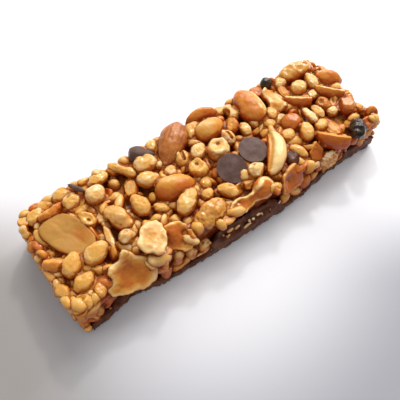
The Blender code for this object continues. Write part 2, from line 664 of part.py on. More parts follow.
def build():
    for item in list(bpy.data.objects):
        bpy.data.objects.remove(item)
    parts = new_collection("protein_bar")
    pockets = new_collection("pockets")
    small = new_collection("small_pieces")
    base = chocolate_base(parts)
    mass = bare_core(parts)
    trees = large_pieces(parts, pockets)
    level = bmesh.new()
    level.from_mesh(base.data)
    bmesh.ops.scale(level, vec=(1 / MM, 1 / MM, 1 / MM), verts=level.verts)
    above = grown(level, GAP)
    trees.append((BVHTree.FromBMesh(above), Vector((0, 0, 0))))
    finish(above, "base_pocket", "chocolate", pockets)
    level.free()
    join(mass, pockets, "DIFFERENCE")
    grains(small, trees)
    join(mass, small, "UNION")
    keep_largest(mass)


build()
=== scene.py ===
import json
import math
import random

import bpy
from mathutils import Euler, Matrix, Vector
from mathutils.bvhtree import BVHTree

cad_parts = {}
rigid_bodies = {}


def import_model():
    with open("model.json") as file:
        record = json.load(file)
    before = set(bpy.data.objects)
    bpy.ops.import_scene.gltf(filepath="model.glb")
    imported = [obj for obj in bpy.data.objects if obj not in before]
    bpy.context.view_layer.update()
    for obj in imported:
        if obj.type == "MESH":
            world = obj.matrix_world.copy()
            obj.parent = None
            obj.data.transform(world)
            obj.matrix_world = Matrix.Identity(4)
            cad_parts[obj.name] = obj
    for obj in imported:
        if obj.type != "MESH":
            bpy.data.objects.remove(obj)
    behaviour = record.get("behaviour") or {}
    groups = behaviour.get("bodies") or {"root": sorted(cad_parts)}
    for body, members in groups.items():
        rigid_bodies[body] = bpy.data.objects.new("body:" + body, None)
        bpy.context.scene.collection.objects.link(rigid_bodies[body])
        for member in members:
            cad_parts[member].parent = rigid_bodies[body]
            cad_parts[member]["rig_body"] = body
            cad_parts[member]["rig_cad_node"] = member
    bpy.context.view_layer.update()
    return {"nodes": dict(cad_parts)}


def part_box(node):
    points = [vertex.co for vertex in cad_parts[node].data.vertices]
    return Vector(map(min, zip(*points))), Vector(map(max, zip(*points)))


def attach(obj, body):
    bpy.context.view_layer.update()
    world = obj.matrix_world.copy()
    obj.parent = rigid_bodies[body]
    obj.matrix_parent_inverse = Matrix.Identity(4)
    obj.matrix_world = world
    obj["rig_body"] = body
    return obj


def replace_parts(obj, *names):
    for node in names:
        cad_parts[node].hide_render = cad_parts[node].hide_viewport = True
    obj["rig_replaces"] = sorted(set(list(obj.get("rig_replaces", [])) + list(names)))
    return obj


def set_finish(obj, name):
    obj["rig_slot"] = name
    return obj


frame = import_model()
mm = 0.001
print("frame loaded,", len(frame["nodes"]), "nodes")


# selecting, editing and applying, as by hand
def deselect():
    if bpy.context.object and bpy.context.object.mode != "OBJECT":
        bpy.ops.object.mode_set(mode="OBJECT")
    bpy.ops.object.select_all(action="DESELECT")


def focus(piece):
    deselect()
    piece.select_set(True)
    bpy.context.view_layer.objects.active = piece


def edit(piece):
    focus(piece)
    bpy.ops.object.mode_set(mode="EDIT")
    bpy.ops.mesh.select_mode(type="VERT")
    bpy.ops.mesh.select_all(action="SELECT")


def leaveEdit():
    bpy.ops.object.mode_set(mode="OBJECT")


def pick(piece, wanted):
    # into edit mode with only the wanted vertices selected; places are in millimetres
    edit(piece)
    bpy.ops.mesh.select_all(action="DESELECT")
    leaveEdit()
    for vert in piece.data.vertices:
        vert.select = wanted(vert.co / mm)
    bpy.ops.object.mode_set(mode="EDIT")


def stretch(piece, long, wide, thick):
    edit(piece)
    bpy.ops.transform.resize(value=(long, wide, thick))
    leaveEdit()


def pull(step, reach):
    # moves what is selected, and what is near it with a smooth falloff
    bpy.ops.transform.translate(value=[part * mm for part in step], use_proportional_edit=True,
                                proportional_edit_falloff="SMOOTH", proportional_size=reach * mm)


def grab(piece, at, move, reach):
    # pulls the surface nearest to a point
    at = Vector(at) * mm
    nearest = min((vert.co - at).length for vert in piece.data.vertices) / mm
    pick(piece, lambda co: (co - at / mm).length < nearest + 0.08 * reach)
    pull(move, reach)
    leaveEdit()


def grabAll(piece, grabs):
    for at, move, reach in grabs:
        grab(piece, at, move, reach)


def applyModifier(piece, kind, **values):
    focus(piece)
    modifier = piece.modifiers.new(kind.lower(), kind)
    for name, value in values.items():
        setattr(modifier, name, value)
    bpy.ops.object.modifier_apply(modifier=modifier.name)


def evenMesh(piece, cell, smoothing=2):
    applyModifier(piece, "REMESH", mode="VOXEL", voxel_size=cell * mm)
    if smoothing:
        applyModifier(piece, "SMOOTH", factor=0.5, iterations=smoothing)


def roughen(piece, sizes):
    # each step is the size of its waves and their depth
    for size, depth in sizes:
        name = f"clouds{size}"
        texture = bpy.data.textures.get(name)
        if not texture:
            texture = bpy.data.textures.new(name, "CLOUDS")
            texture.noise_scale = size * mm
        applyModifier(piece, "DISPLACE", texture=texture, strength=depth * mm, mid_level=0.5,
                      texture_coords="LOCAL")


def carry(piece, step):
    # moves a whole piece within its mesh, so that its object stays at the origin
    edit(piece)
    bpy.ops.transform.translate(value=step)
    leaveEdit()


def cutAway(piece, point, normal):
    # cuts away the side that the normal points to, and fills the cut
    edit(piece)
    bpy.ops.mesh.bisect(plane_co=Vector(point) * mm, plane_no=normal, use_fill=True, clear_outer=True)
    leaveEdit()


def turnMesh(piece, roll=0, pitch=0, heading=0):
    focus(piece)
    piece.rotation_euler = [math.radians(turn) for turn in (roll, pitch, heading)]
    bpy.ops.object.transform_apply(location=True, rotation=True, scale=True)


def copyOf(piece):
    made = piece.copy()
    made.data = piece.data.copy()
    bpy.context.collection.objects.link(made)
    return made


def discard(piece):
    bpy.data.objects.remove(piece)


def joined(name, pieces):
    deselect()
    for piece in pieces:
        piece.select_set(True)
    bpy.context.view_layer.objects.active = pieces[0]
    bpy.ops.object.transform_apply(location=True, rotation=True, scale=True)
    bpy.ops.object.join()
    whole = bpy.context.object
    whole.name = name
    return whole


def trianglesOf(piece):
    return sum(len(face.vertices) - 2 for face in piece.data.polygons)


def ramp(value, start, end):
    t = min(max((value - start) / (end - start), 0.0), 1.0)
    return t * t * (3 - 2 * t)


def mixed(a, b, share):
    return a + (b - a) * share


def toastBy(piece, rule):
    # how dark each place is, from roasting and in places from painted light and shade: 0 cream, 0.5 golden,
    # 1 orange brown
    mesh = piece.data
    toast = mesh.attributes.get("toast") or mesh.attributes.new("toast", "FLOAT", "POINT")
    toast.data.foreach_set("value", [rule(vert.co / mm, vert.normal) for vert in mesh.vertices])


def smoothShade(piece):
    focus(piece)
    bpy.ops.object.shade_smooth()


# primitives at their size
def addBall(name, long, wide, thick, detail=4):
    deselect()
    bpy.ops.mesh.primitive_ico_sphere_add(subdivisions=detail, radius=0.5 * mm)
    ball = bpy.context.object
    ball.name = name
    stretch(ball, long, wide, thick)
    return ball


def addPlate(name, outline, thick):
    # a flat plate cut to an outline that runs round its edge
    deselect()
    bpy.ops.mesh.primitive_circle_add(vertices=len(outline), radius=1 * mm, fill_type="NGON")
    plate = bpy.context.object
    plate.name = name
    for vert, (x, y) in zip(plate.data.vertices, outline):
        vert.co = Vector((x, y, 0)) * mm
    applyModifier(plate, "SOLIDIFY", thickness=thick * mm, offset=0.0)
    return plate


# materials
def addNode(tree, kind, **values):
    node = tree.nodes.new(kind)
    for name, value in values.items():
        setattr(node, name, value)
    return node


def feed(tree, socket, value):
    if isinstance(value, bpy.types.NodeSocket):
        tree.links.new(value, socket)
    else:
        socket.default_value = value


def calc(tree, operation, a, b=0.0, clamp=False):
    node = addNode(tree, "ShaderNodeMath", operation=operation, use_clamp=clamp)
    feed(tree, node.inputs[0], a)
    feed(tree, node.inputs[1], b)
    return node.outputs[0]


def stepUp(tree, value, start, end):
    node = addNode(tree, "ShaderNodeMapRange", interpolation_type="SMOOTHSTEP")
    feed(tree, node.inputs["Value"], value)
    feed(tree, node.inputs["From Min"], start)
    feed(tree, node.inputs["From Max"], end)
    return node.outputs["Result"]


def blendColour(tree, share, a, b, mode="MIX"):
    node = addNode(tree, "ShaderNodeMix", data_type="RGBA", blend_type=mode)
    feed(tree, node.inputs[0], share)
    feed(tree, node.inputs[6], a)
    feed(tree, node.inputs[7], b)
    return node.outputs[2]


def noise(tree, where, scale, detail=3.0, roughness=0.55):
    # scale is in waves a metre
    node = addNode(tree, "ShaderNodeTexNoise")
    tree.links.new(where, node.inputs["Vector"])
    feed(tree, node.inputs["Scale"], scale)
    node.inputs["Detail"].default_value = detail
    node.inputs["Roughness"].default_value = roughness
    return node.outputs["Fac"]


def swing(tree, value, amount):
    # noise runs round 0.5: this brings it round nought and scales it
    return calc(tree, "MULTIPLY", calc(tree, "SUBTRACT", value, 0.5), amount)


def attribute(tree, name):
    return addNode(tree, "ShaderNodeAttribute", attribute_name=name).outputs["Fac"]


def newGroup(name, inputs, outputs):
    group = bpy.data.node_groups.new(name, "ShaderNodeTree")
    for label, kind, value in inputs:
        socket = group.interface.new_socket(name=label, in_out="INPUT", socket_type="NodeSocket" + kind)
        socket.default_value = value
    for label, kind in outputs:
        group.interface.new_socket(name=label, in_out="OUTPUT", socket_type="NodeSocket" + kind)
    return group, group.nodes.new("NodeGroupInput"), group.nodes.new("NodeGroupOutput")


surfaceOutputs = [("Color", "Color"), ("Roughness", "Float"), ("Height", "Float")]


def makeToastGroup():
    # roasted and syruped food: colour from the toast attribute, darker and amber where the deep attribute is
    # high, which is partly syrup pooled in crevices and on the sides and partly painted crevice shade
    inputs = [("Pale", "Color", (0.8, 0.6, 0.3, 1)), ("Golden", "Color", (0.7, 0.4, 0.12, 1)),
              ("Dark", "Color", (0.45, 0.14, 0.03, 1)), ("Amber Shade", "Color", (0.5, 0.2, 0.05, 1)),
              ("Mottle", "Float", 0.3), ("Speckle", "Float", 0.15), ("Roughness", "Float", 0.4),
              ("Grain", "Float", 0.4)]
    group, ins, outs = newGroup("toastedSyrup", inputs, surfaceOutputs)
    given = ins.outputs
    where = addNode(group, "ShaderNodeTexCoord").outputs["Object"]
    toast, deep = attribute(group, "toast"), attribute(group, "deep")
    patches = noise(group, where, 330.0)
    specks = noise(group, where, 1500.0, 2.0)
    fine = noise(group, where, 2600.0, 3.0)
    level = calc(group, "ADD", toast, swing(group, patches, given["Mottle"]))
    level = calc(group, "ADD", level, swing(group, specks, given["Speckle"]))
    # painted crevice shade: the toast darkens where the deep attribute is high
    level = calc(group, "ADD", level, calc(group, "MULTIPLY", deep, 0.25))
    colour = blendColour(group, stepUp(group, level, 0.0, 0.5), given["Pale"], given["Golden"])
    colour = blendColour(group, stepUp(group, level, 0.45, 1.05), colour, given["Dark"])
    # amber syrup pooled in crevices, with painted shade there as well, by the deep attribute
    pooledAndShaded = stepUp(group, deep, 0.06, 0.62)
    soakedAndShaded = blendColour(group, 1.0, colour, given["Amber Shade"], "MULTIPLY")
    group.links.new(blendColour(group, pooledAndShaded, colour, soakedAndShaded), outs.inputs["Color"])
    rough = calc(group, "ADD", given["Roughness"], swing(group, patches, 0.5))
    rough = calc(group, "SUBTRACT", rough, calc(group, "MULTIPLY", pooledAndShaded, 0.12), clamp=True)
    group.links.new(rough, outs.inputs["Roughness"])
    height = calc(group, "MULTIPLY", calc(group, "ADD", fine, specks), given["Grain"])
    group.links.new(height, outs.inputs["Height"])
    return group


toastGroup = makeToastGroup()


def makeFinish(name, group, values, shader, bump):
    # a Principled material fed by one of the shared groups
    made = bpy.data.materials.new(name)
    made.use_nodes = True
    tree = made.node_tree
    principled = tree.nodes["Principled BSDF"]
    for label, value in shader.items():
        principled.inputs[label].default_value = value
    source = addNode(tree, "ShaderNodeGroup", node_tree=group)
    for label, value in values.items():
        source.inputs[label].default_value = (*value, 1) if isinstance(value, tuple) else value
    tree.links.new(source.outputs["Color"], principled.inputs["Base Color"])
    tree.links.new(source.outputs["Roughness"], principled.inputs["Roughness"])
    relief = addNode(tree, "ShaderNodeBump")
    relief.inputs["Strength"].default_value = bump["strength"]
    relief.inputs["Distance"].default_value = bump["depth"] * mm
    tree.links.new(source.outputs["Height"], relief.inputs["Height"])
    tree.links.new(relief.outputs["Normal"], principled.inputs["Normal"])
    return made


def glaze(coat, coatRoughness, glow=0.4):
    return {"Coat Weight": coat, "Coat Roughness": coatRoughness, "Coat IOR": 1.45, "IOR": 1.45,
            "Specular IOR Level": 0.2, "Subsurface Weight": glow, "Subsurface Radius": (1.0, 0.35, 0.1),
            "Subsurface Scale": 1.2 * mm}


crispFinish = makeFinish("syrupedCrisp", toastGroup, {
    "Pale": (0.80, 0.605, 0.32), "Golden": (0.71, 0.365, 0.075), "Dark": (0.50, 0.16, 0.018),
    "Amber Shade": (0.66, 0.33, 0.14), "Mottle": 0.6, "Speckle": 0.25, "Roughness": 0.45, "Grain": 0.5},
    glaze(0.55, 0.09), {"strength": 0.5, "depth": 0.15})
nutFinish = makeFinish("roastedNut", toastGroup, {
    "Pale": (0.80, 0.55, 0.235), "Golden": (0.66, 0.285, 0.043), "Dark": (0.50, 0.125, 0.012),
    "Amber Shade": (0.66, 0.32, 0.13), "Mottle": 0.45, "Speckle": 0.2, "Roughness": 0.42, "Grain": 0.35},
    glaze(0.5, 0.08), {"strength": 0.35, "depth": 0.14})
paleFinish = makeFinish("blanchedNut", toastGroup, {
    "Pale": (0.445, 0.225, 0.045), "Golden": (0.44, 0.165, 0.024), "Dark": (0.42, 0.14, 0.02),
    "Amber Shade": (0.60, 0.30, 0.12), "Mottle": 0.3, "Speckle": 0.16, "Roughness": 0.55, "Grain": 0.3},
    glaze(0.0, 0.3), {"strength": 0.2, "depth": 0.08})
glazedFinish = makeFinish("syrupGlazedNut", toastGroup, {
    "Pale": (0.78, 0.50, 0.19), "Golden": (0.62, 0.27, 0.045), "Dark": (0.46, 0.105, 0.01),
    "Amber Shade": (0.60, 0.28, 0.10), "Mottle": 0.45, "Speckle": 0.2, "Roughness": 0.34, "Grain": 0.35},
    glaze(1.0, 0.06), {"strength": 0.4, "depth": 0.2})
skinFinish = makeFinish("almondSkin", toastGroup, {
    "Pale": (0.60, 0.26, 0.07), "Golden": (0.48, 0.165, 0.032), "Dark": (0.28, 0.065, 0.012),
    "Amber Shade": (0.55, 0.25, 0.11), "Mottle": 0.6, "Speckle": 0.4, "Roughness": 0.38, "Grain": 0.6},
    glaze(0.45, 0.1, 0.1), {"strength": 0.45, "depth": 0.15})
syrupFinish = makeFinish("setSyrup", toastGroup, {
    "Pale": (0.58, 0.26, 0.045), "Golden": (0.50, 0.18, 0.02), "Dark": (0.34, 0.10, 0.010),
    "Amber Shade": (0.30, 0.105, 0.04), "Mottle": 0.6, "Speckle": 0.2, "Roughness": 0.38, "Grain": 0.4},
    glaze(0.15, 0.1, 0.0), {"strength": 0.5, "depth": 0.2})
crumbFinish = makeFinish("dryCrumb", toastGroup, {
    "Pale": (0.86, 0.68, 0.44), "Golden": (0.74, 0.45, 0.20), "Dark": (0.52, 0.24, 0.07),
    "Amber Shade": (0.66, 0.42, 0.24), "Mottle": 0.5, "Speckle": 0.4, "Roughness": 0.75, "Grain": 0.8},
    glaze(0.0, 0.3), {"strength": 0.5, "depth": 0.12})


def makeChocolateGroup():
    # dark chocolate: a dull bloom in patches over brown, with painted shade nearly black in its crevices
    inputs = [("Brown", "Color", (0.05, 0.02, 0.012, 1)), ("Bloom", "Color", (0.13, 0.08, 0.07, 1)),
              ("Bloom Share", "Float", 0.5), ("Roughness", "Float", 0.4), ("Grain", "Float", 0.5)]
    paintedCreviceShade = (0.010, 0.004, 0.003, 1)
    group, ins, outs = newGroup("darkChocolate", inputs, surfaceOutputs)
    given = ins.outputs
    where = addNode(group, "ShaderNodeTexCoord").outputs["Object"]
    patches = noise(group, where, 420.0, 4.0)
    dust = noise(group, where, 2400.0, 3.0)
    bloom = calc(group, "MULTIPLY", stepUp(group, patches, 0.35, 0.65), given["Bloom Share"])
    bloom = calc(group, "MULTIPLY", bloom, calc(group, "ADD", dust, 0.45), clamp=True)
    colour = blendColour(group, bloom, given["Brown"], given["Bloom"])
    # painted shade: nearly black where the deep attribute is high
    colour = blendColour(group, stepUp(group, attribute(group, "deep"), 0.2, 0.9), colour, paintedCreviceShade)
    group.links.new(colour, outs.inputs["Color"])
    rough = calc(group, "ADD", given["Roughness"], swing(group, patches, 0.4))
    group.links.new(rough, outs.inputs["Roughness"])
    height = calc(group, "MULTIPLY", calc(group, "ADD", dust, patches), given["Grain"])
    group.links.new(height, outs.inputs["Height"])
    return group


chocolateGroup = makeChocolateGroup()
dropFinish = makeFinish("chocolateDrop", chocolateGroup, {
    "Brown": (0.105, 0.056, 0.042), "Bloom": (0.16, 0.10, 0.085), "Bloom Share": 0.7, "Roughness": 0.5,
    "Grain": 0.4},
    {"IOR": 1.4, "Specular IOR Level": 0.25}, {"strength": 0.25, "depth": 0.06})
baseFinish = makeFinish("chocolateCoat", chocolateGroup, {
    "Brown": (0.075, 0.018, 0.007), "Bloom": (0.20, 0.07, 0.03), "Bloom Share": 0.6, "Roughness": 0.45,
    "Grain": 0.9},
    {"IOR": 1.45, "Specular IOR Level": 0.15, "Coat Weight": 0.12, "Coat Roughness": 0.2},
    {"strength": 0.6, "depth": 0.25})
stickyFinish = makeFinish("glazedChocolate", chocolateGroup, {
    "Brown": (0.022, 0.010, 0.007), "Bloom": (0.20, 0.13, 0.06), "Bloom Share": 0.2, "Roughness": 0.4,
    "Grain": 1.0},
    {"IOR": 1.45, "Specular IOR Level": 0.2, "Coat Weight": 0.6, "Coat Roughness": 0.1},
    {"strength": 0.6, "depth": 0.25})
print("finishes mixed")

finished = []   # every piece that shows, for the crevice pass at the end


def serve(piece, finish, slot, *nodes):
    # hands a finished piece over: its finish, its body, its slot and the solids that it stands for
    smoothShade(piece)
    piece.data.materials.clear()
    piece.data.materials.append(finish)
    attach(piece, "root")
    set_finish(piece, slot)
    if nodes:
        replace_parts(piece, *nodes)
    finished.append(piece)


def settle(piece, node, turn, asDrawn=False):
    # turns a piece as it lies in the bar, then carries its middle to the middle of its solid;
    # a piece that is drawn round its own origin is carried by that
    turnMesh(piece, *turn)
    corners = [Vector(corner) for corner in piece.bound_box]
    middle = Vector() if asDrawn else (corners[0] + corners[6]) / 2
    low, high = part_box(node)
    carry(piece, (low + high) / 2 - middle)


def layDown(piece, shape, finish, slot, asDrawn=False):
    settle(piece, shape["node"], shape["turn"], asDrawn)
    serve(piece, finish, slot, shape["node"])


# nuts
def nutBody(name, long, wide, thick, nib):
    # fuller at one end, with the small nib at the other
    nut = addBall(name, long, wide, thick, 5)
    grab(nut, (long / 2, 0, 0), (nib, 0, 0), wide * 0.3)
    for side in (1, -1):
        grab(nut, (-long * 0.3, side * wide / 2, 0), (0, side * wide * 0.05, 0), wide * 0.6)
    return nut


def paleSlice():
    # a half with its flat face up: a broad slice, blunt where it is cut, with a faint groove
    shape = {"node": "pale_slice", "turn": (0, 2, -65), "thick": 3.0, "domeScale": 0.72,
             "dents": [((1.4, 0.6), -0.45, 4.5), ((-4.6, -1.2), 0.25, 3.5)],
             "grooveHalf": 5, "grooveSway": 0.3, "grooveDeep": 0.12, "grooveWide": 0.8,
             "toast": 0.10, "patchToast": 0.62, "patchAt": (2.6, 1.6), "underShadeToast": 0.6,
             "rough": [(3.6, 0.5), (0.8, 0.06)],
             "outline": [(-7.3, -2.6), (-7.0, 0.4), (-6.2, 2.6), (-4.6, 4.0), (-2.0, 4.6), (0.8, 4.4),
                         (3.4, 3.7), (5.8, 2.6), (7.4, 1.0), (7.7, -1.2), (6.6, -3.2), (4.4, -4.4),
                         (1.4, -4.9), (-1.4, -4.8), (-4.2, -4.4), (-6.0, -3.7)]}
    nut = addPlate("paleSlice", shape["outline"], shape["thick"])
    evenMesh(nut, 0.26, 8)
    pick(nut, lambda co: co.z < 0)                       # the dome below
    bpy.ops.transform.resize(value=(shape["domeScale"], shape["domeScale"], 1), center_override=(0, 0, 0),
                             use_proportional_edit=True, proportional_size=0.8 * mm)
    leaveEdit()
    top = shape["thick"] / 2
    for (x, y), rise, reach in shape["dents"]:
        grab(nut, (x, y, top), (0, 0, rise), reach)
    for x in range(-shape["grooveHalf"], shape["grooveHalf"] + 1):
        y = shape["grooveSway"] * math.sin(x)
        grab(nut, (x, y, top), (0, 0, -shape["grooveDeep"]), shape["grooveWide"])
    roughen(nut, shape["rough"])

    def rule(co, normal):
        x, y = co.x - shape["patchAt"][0], co.y - shape["patchAt"][1]
        patch = shape["patchToast"] * math.exp(-(x ** 2 / 5 + y ** 2 / 3))
        # a brown patch of its own, and painted shade darkening what faces down or sideways
        return shape["toast"] + patch + shape["underShadeToast"] * ramp(-normal.z, -0.8, 0.1)

    toastBy(nut, rule)
    layDown(nut, shape, paleFinish, "nut_pale")


def domedHalf(name, shape):
    # dome up, flat face down
    rim = -shape["thick"] * 0.3
    nut = nutBody(name, shape["long"], shape["wide"], shape["thick"] * 1.35, 0.2)
    cutAway(nut, (0, 0, rim), (0, 0, -1))
    evenMesh(nut, 0.26, 3)
    roughen(nut, [(2.6, 0.5), (0.7, 0.08)])

    def rule(co, normal):
        low = shape["rimLight"] * (1 - ramp(co.z, rim + 0.3, rim + 1.2))
        back = shape["farLight"] * ramp(co.y, 0, shape["wide"] * 0.4)
        return shape["toast"] - max(low, back) + 0.1 * math.sin(co.x * 0.9)

    toastBy(nut, rule)
    layDown(nut, shape, nutFinish, "nut_roasted")


def boatHalf(name, shape):
    # a broken half like a boat: pale grooved face up, roasted hull below
    long, wide, thick = shape["long"], shape["wide"], shape["thick"]
    face = thick * 0.24
    nut = nutBody(name, long * 1.1, wide * 1.1, thick * 1.4, 0.2)
    cutAway(nut, (0, 0, face), (0, 0.1, 1))
    cutAway(nut, (long * 0.42, 0, 0), (1, 0.2, 0))
    evenMesh(nut, 0.25, 2)
    for along in (-0.3, -0.1, 0.1, 0.3):
        grab(nut, (along * long, 0, face), (0, 0, -0.25), 0.8)
    roughen(nut, [(2.4, 0.4), (0.7, 0.08)])

    def rule(co, normal):
        flat = ramp(normal.z, 0.45, 0.85)
        broken = ramp(normal.x, 0.6, 0.9)
        return mixed(shape["toast"], shape["faceToast"], max(flat, broken * 0.6))

    toastBy(nut, rule)
    layDown(nut, shape, nutFinish, "nut_roasted")


def wholeNut(name, shape, finish, slot):
    # toasted evenly, with painted light and shade on one side
    nut = nutBody(name, shape["long"], shape["wide"], shape["thick"], 0.3)
    grabAll(nut, shape["grabs"])
    evenMesh(nut, 0.28, 2)
    roughen(nut, [(3.0, shape["waves"]), (0.8, 0.1)])
    side = Vector(shape["paintedShadingSide"])

    def rule(co, normal):
        # painted light or painted shade on the side that faces the given direction
        return mixed(shape["toast"], shape["paintedShadingToast"], ramp(normal.dot(side), 0.35, 0.9))

    toastBy(nut, rule)
    layDown(nut, shape, finish, slot)


def lumpNut(name, shape, finish, slot):
    # an uneven lump: a ball pulled about or cut to facets, then roughened
    nut = addBall(name, shape["long"], shape["wide"], shape["thick"], 5)
    grabAll(nut, shape.get("grabs", ()))
    for point, normal in shape.get("facets", ()):
        cutAway(nut, point, normal)
    evenMesh(nut, 0.25, 2)
    roughen(nut, [(shape.get("lobe", 2.2), shape["waves"]), (0.8, shape.get("grain", 0.2))])
    # a negative top toast paints the top paler: painted light
    toast, litTopToast = shape.get("toast", 0.5), shape.get("litTopToast", 0.0)
    toastBy(nut, lambda co, normal: toast + litTopToast * ramp(normal.z, 0.2, 0.8))
    layDown(nut, shape, finish, slot)


def torn(outline, depth, draw, step=0.8):
    # breaks the straight stretches of an outline into small ragged steps
    ragged = []
    for start, end in zip(outline, outline[1:] + outline[:1]):
        start, end = Vector(start), Vector(end)
        out = (end - start).orthogonal().normalized()
        steps = max(1, round((end - start).length / step))
        for i in range(steps):
            ragged.append(tuple(start.lerp(end, i / steps) + out * draw.uniform(-depth, depth)))
    return ragged


def leafFlake(name, shape, slot="nut_roasted"):
    # a thin broken flake: cut to a torn outline, then curled with the given grabs
    outline = torn(shape["outline"], shape.get("torn", 0.25), random.Random(name))
    parts = [addPlate(name, outline, shape["thick"])]
    for middle, size in shape.get("lumps", ()):
        parts.append(addBall("lump", *size))
        parts[-1].location = Vector(middle) * mm
    flake = joined(name, parts)
    evenMesh(flake, 0.25, shape.get("smoothing", 2))
    grabAll(flake, shape["grabs"])
    evenMesh(flake, 0.24, 2)
    roughen(flake, [(2.6, shape.get("waves", 0.6)), (0.9, shape.get("grain", 0.22))])
    rim = [Vector(point) for point in outline]
    edges = list(zip(rim, rim[1:] + rim[:1]))
    paleAt = [(Vector(at), reach) for at, reach in shape.get("paleAt", ())]

    def fromRim(spot):
        gaps = []
        for start, end in edges:
            along = end - start
            share = min(max((spot - start).dot(along) / along.length_squared, 0), 1)
            gaps.append((spot - start - along * share).length)
        return min(gaps)

    def rule(co, normal):
        spot = Vector((co.x, co.y))
        inner = ramp(fromRim(spot), 0.1, shape.get("rimWidth", 1.8))
        toast = mixed(shape["rimToast"], shape["toast"], inner)
        for at, reach in paleAt:
            toast = mixed(shape["rimToast"], toast, ramp((spot - at).length, 0, reach))
        return toast

    toastBy(flake, rule)
    layDown(flake, shape, nutFinish, slot, asDrawn=True)


def layNuts():
    paleSlice()
    for name, node, turn, size, toast, rim, far in (
            ("halfTilted", "peanut_half_tilted", (28, 0, -12), (10.8, 7.0, 5.0), 0.92, 0.5, 0.6),
            ("halfFar", "peanut_half_far", (-20, 0, -6), (10.2, 3.4, 4.8), 0.8, 0.5, 0.2),
            ("halfLarge", "peanut_half_large", (8, 4, 12), (9.4, 6.2, 4.6), 0.45, 0.3, 0.2),
            ("halfEnd", "peanut_end", (-8, 0, -40), (8.4, 5.6, 4.8), 0.8, 0.5, 0.3)):
        domedHalf(name, {"node": node, "turn": turn, "long": size[0], "wide": size[1], "thick": size[2],
                         "toast": toast, "rimLight": rim, "farLight": far})
    for name, node, turn, size, toast, face in (
            ("boatMid", "peanut_wedge_mid", (-34, 0, -39), (8.0, 4.4, 4.4), 0.9, 0.05),
            ("boatRight", "peanut_wedge_right", (-34, 2, -50), (9.2, 4.4, 4.4), 0.75, 0.1),
            ("boatNear", "peanut_wedge_near", (-34, 4, -44), (9.6, 4.6, 4.6), 0.95, 0.45)):
        boatHalf(name, {"node": node, "turn": turn, "long": size[0], "wide": size[1], "thick": size[2],
                        "toast": toast, "faceToast": face})
    wholeNut("peanutWhole", {
        "node": "peanut_whole", "turn": (0, 6, 80), "long": 13.2, "wide": 8.0, "thick": 6.4, "waves": 0.6,
        "toast": 0.8, "paintedShadingToast": 0.05, "paintedShadingSide": (0, -0.9, 0.3),
        "grabs": [((0, 4, 0), (0, -0.7, 0), 3.0)]}, nutFinish, "nut_roasted")
    wholeNut("peanutGlazed", {
        "node": "peanut_glazed", "turn": (0, 0, -3), "long": 11.6, "wide": 6.0, "thick": 5.4, "waves": 0.9,
        "toast": 0.35, "paintedShadingToast": 0.7, "paintedShadingSide": (0, -1, 0),
        "grabs": [((3.6, 0.4, 2.4), (0, 0, -1.1), 1.3), ((0.6, -1.2, 2.6), (0, 0, -0.5), 1.2),
                  ((-1.4, 1.2, 2.6), (0, 0, 0.5), 1.6)]}, glazedFinish, "nut_glazed")
    lumpNut("lumpGlazed", {
        "node": "glazed_lump", "turn": (0, 8, 104), "long": 9.6, "wide": 5.4, "thick": 4.4,
        "toast": 0.6, "litTopToast": -0.35, "waves": 1.1, "lobe": 2.6, "grain": 0.08,
        "grabs": [((1, 2.7, 0), (0, -1.0, -0.3), 1.6), ((-2, 0, 2), (0, 0, 0.6), 1.8)]},
        glazedFinish, "nut_glazed")
    lumpNut("lumpWrinkled", {
        "node": "flake_wrinkled", "turn": (24, -2, 10), "long": 10.0, "wide": 6.0, "thick": 3.4,
        "toast": 0.62, "litTopToast": -0.2, "waves": 1.3, "lobe": 1.5, "grain": 0.12},
        glazedFinish, "nut_glazed")
    lumpNut("peanutRound", {
        "node": "peanut_round", "turn": (0, 4, 30), "long": 6.8, "wide": 6.0, "thick": 5.0,
        "toast": 0.85, "waves": 0.5, "lobe": 3.0}, glazedFinish, "nut_skin")
    lumpNut("peanutRed", {
        "node": "peanut_red_right", "turn": (0, 0, 60), "long": 6.4, "wide": 5.4, "thick": 4.8,
        "toast": 1.05, "litTopToast": -0.3, "waves": 0.5, "lobe": 2.6,
        "facets": [((2.2, 0, 0), (1, 0.1, 0.2)), ((0, 1.9, 0), (0.1, 1, 0.3)),
                   ((0, 0, 1.8), (0.1, 0, 1)), ((0, -2.0, 0), (0, -1, 0.2))]}, glazedFinish, "nut_skin")
    print("nuts laid")


def layCrescent():
    # a half seen on its edge: a cream outer rim and a groove along the inner face
    shape = {"node": "nut_crescent", "turn": (-24, 4, 50), "long": 15.8, "wide": 5.4, "thick": 4.4,
             "bow": 1.5, "grooveAt": 0.7, "grooveDeep": 0.4, "grooveHalf": 6.4, "grooveWide": 0.36,
             "rimToast": 0.05, "faceToast": 0.75, "rough": [(3.0, 0.4), (0.9, 0.12)]}
    nut = addBall("crescent", shape["long"], shape["wide"], shape["thick"], 5)
    evenMesh(nut, 0.25, 1)
    for vert in nut.data.vertices:
        along = vert.co.x / mm * 2 / shape["long"]
        vert.co.y += shape["bow"] * along * along * mm

    def across(co):
        return co.y - shape["bow"] * (co.x * 2 / shape["long"]) ** 2

    def inGroove(co):
        aside = abs(across(co) - shape["grooveAt"])
        return abs(co.x) < shape["grooveHalf"] and aside < shape["grooveWide"] / 2

    pick(nut, lambda co: co.z > 0 and inGroove(co))
    pull((0, 0, -shape["grooveDeep"]), 0.8)
    leaveEdit()
    roughen(nut, shape["rough"])

    def rule(co, normal):
        groove = 0.3 * math.exp(-((across(co) - shape["grooveAt"]) / 0.4) ** 2)
        return mixed(shape["rimToast"], shape["faceToast"], ramp(across(co), 0.2, 2.0)) + groove

    toastBy(nut, rule)
    layDown(nut, shape, nutFinish, "nut_pale")


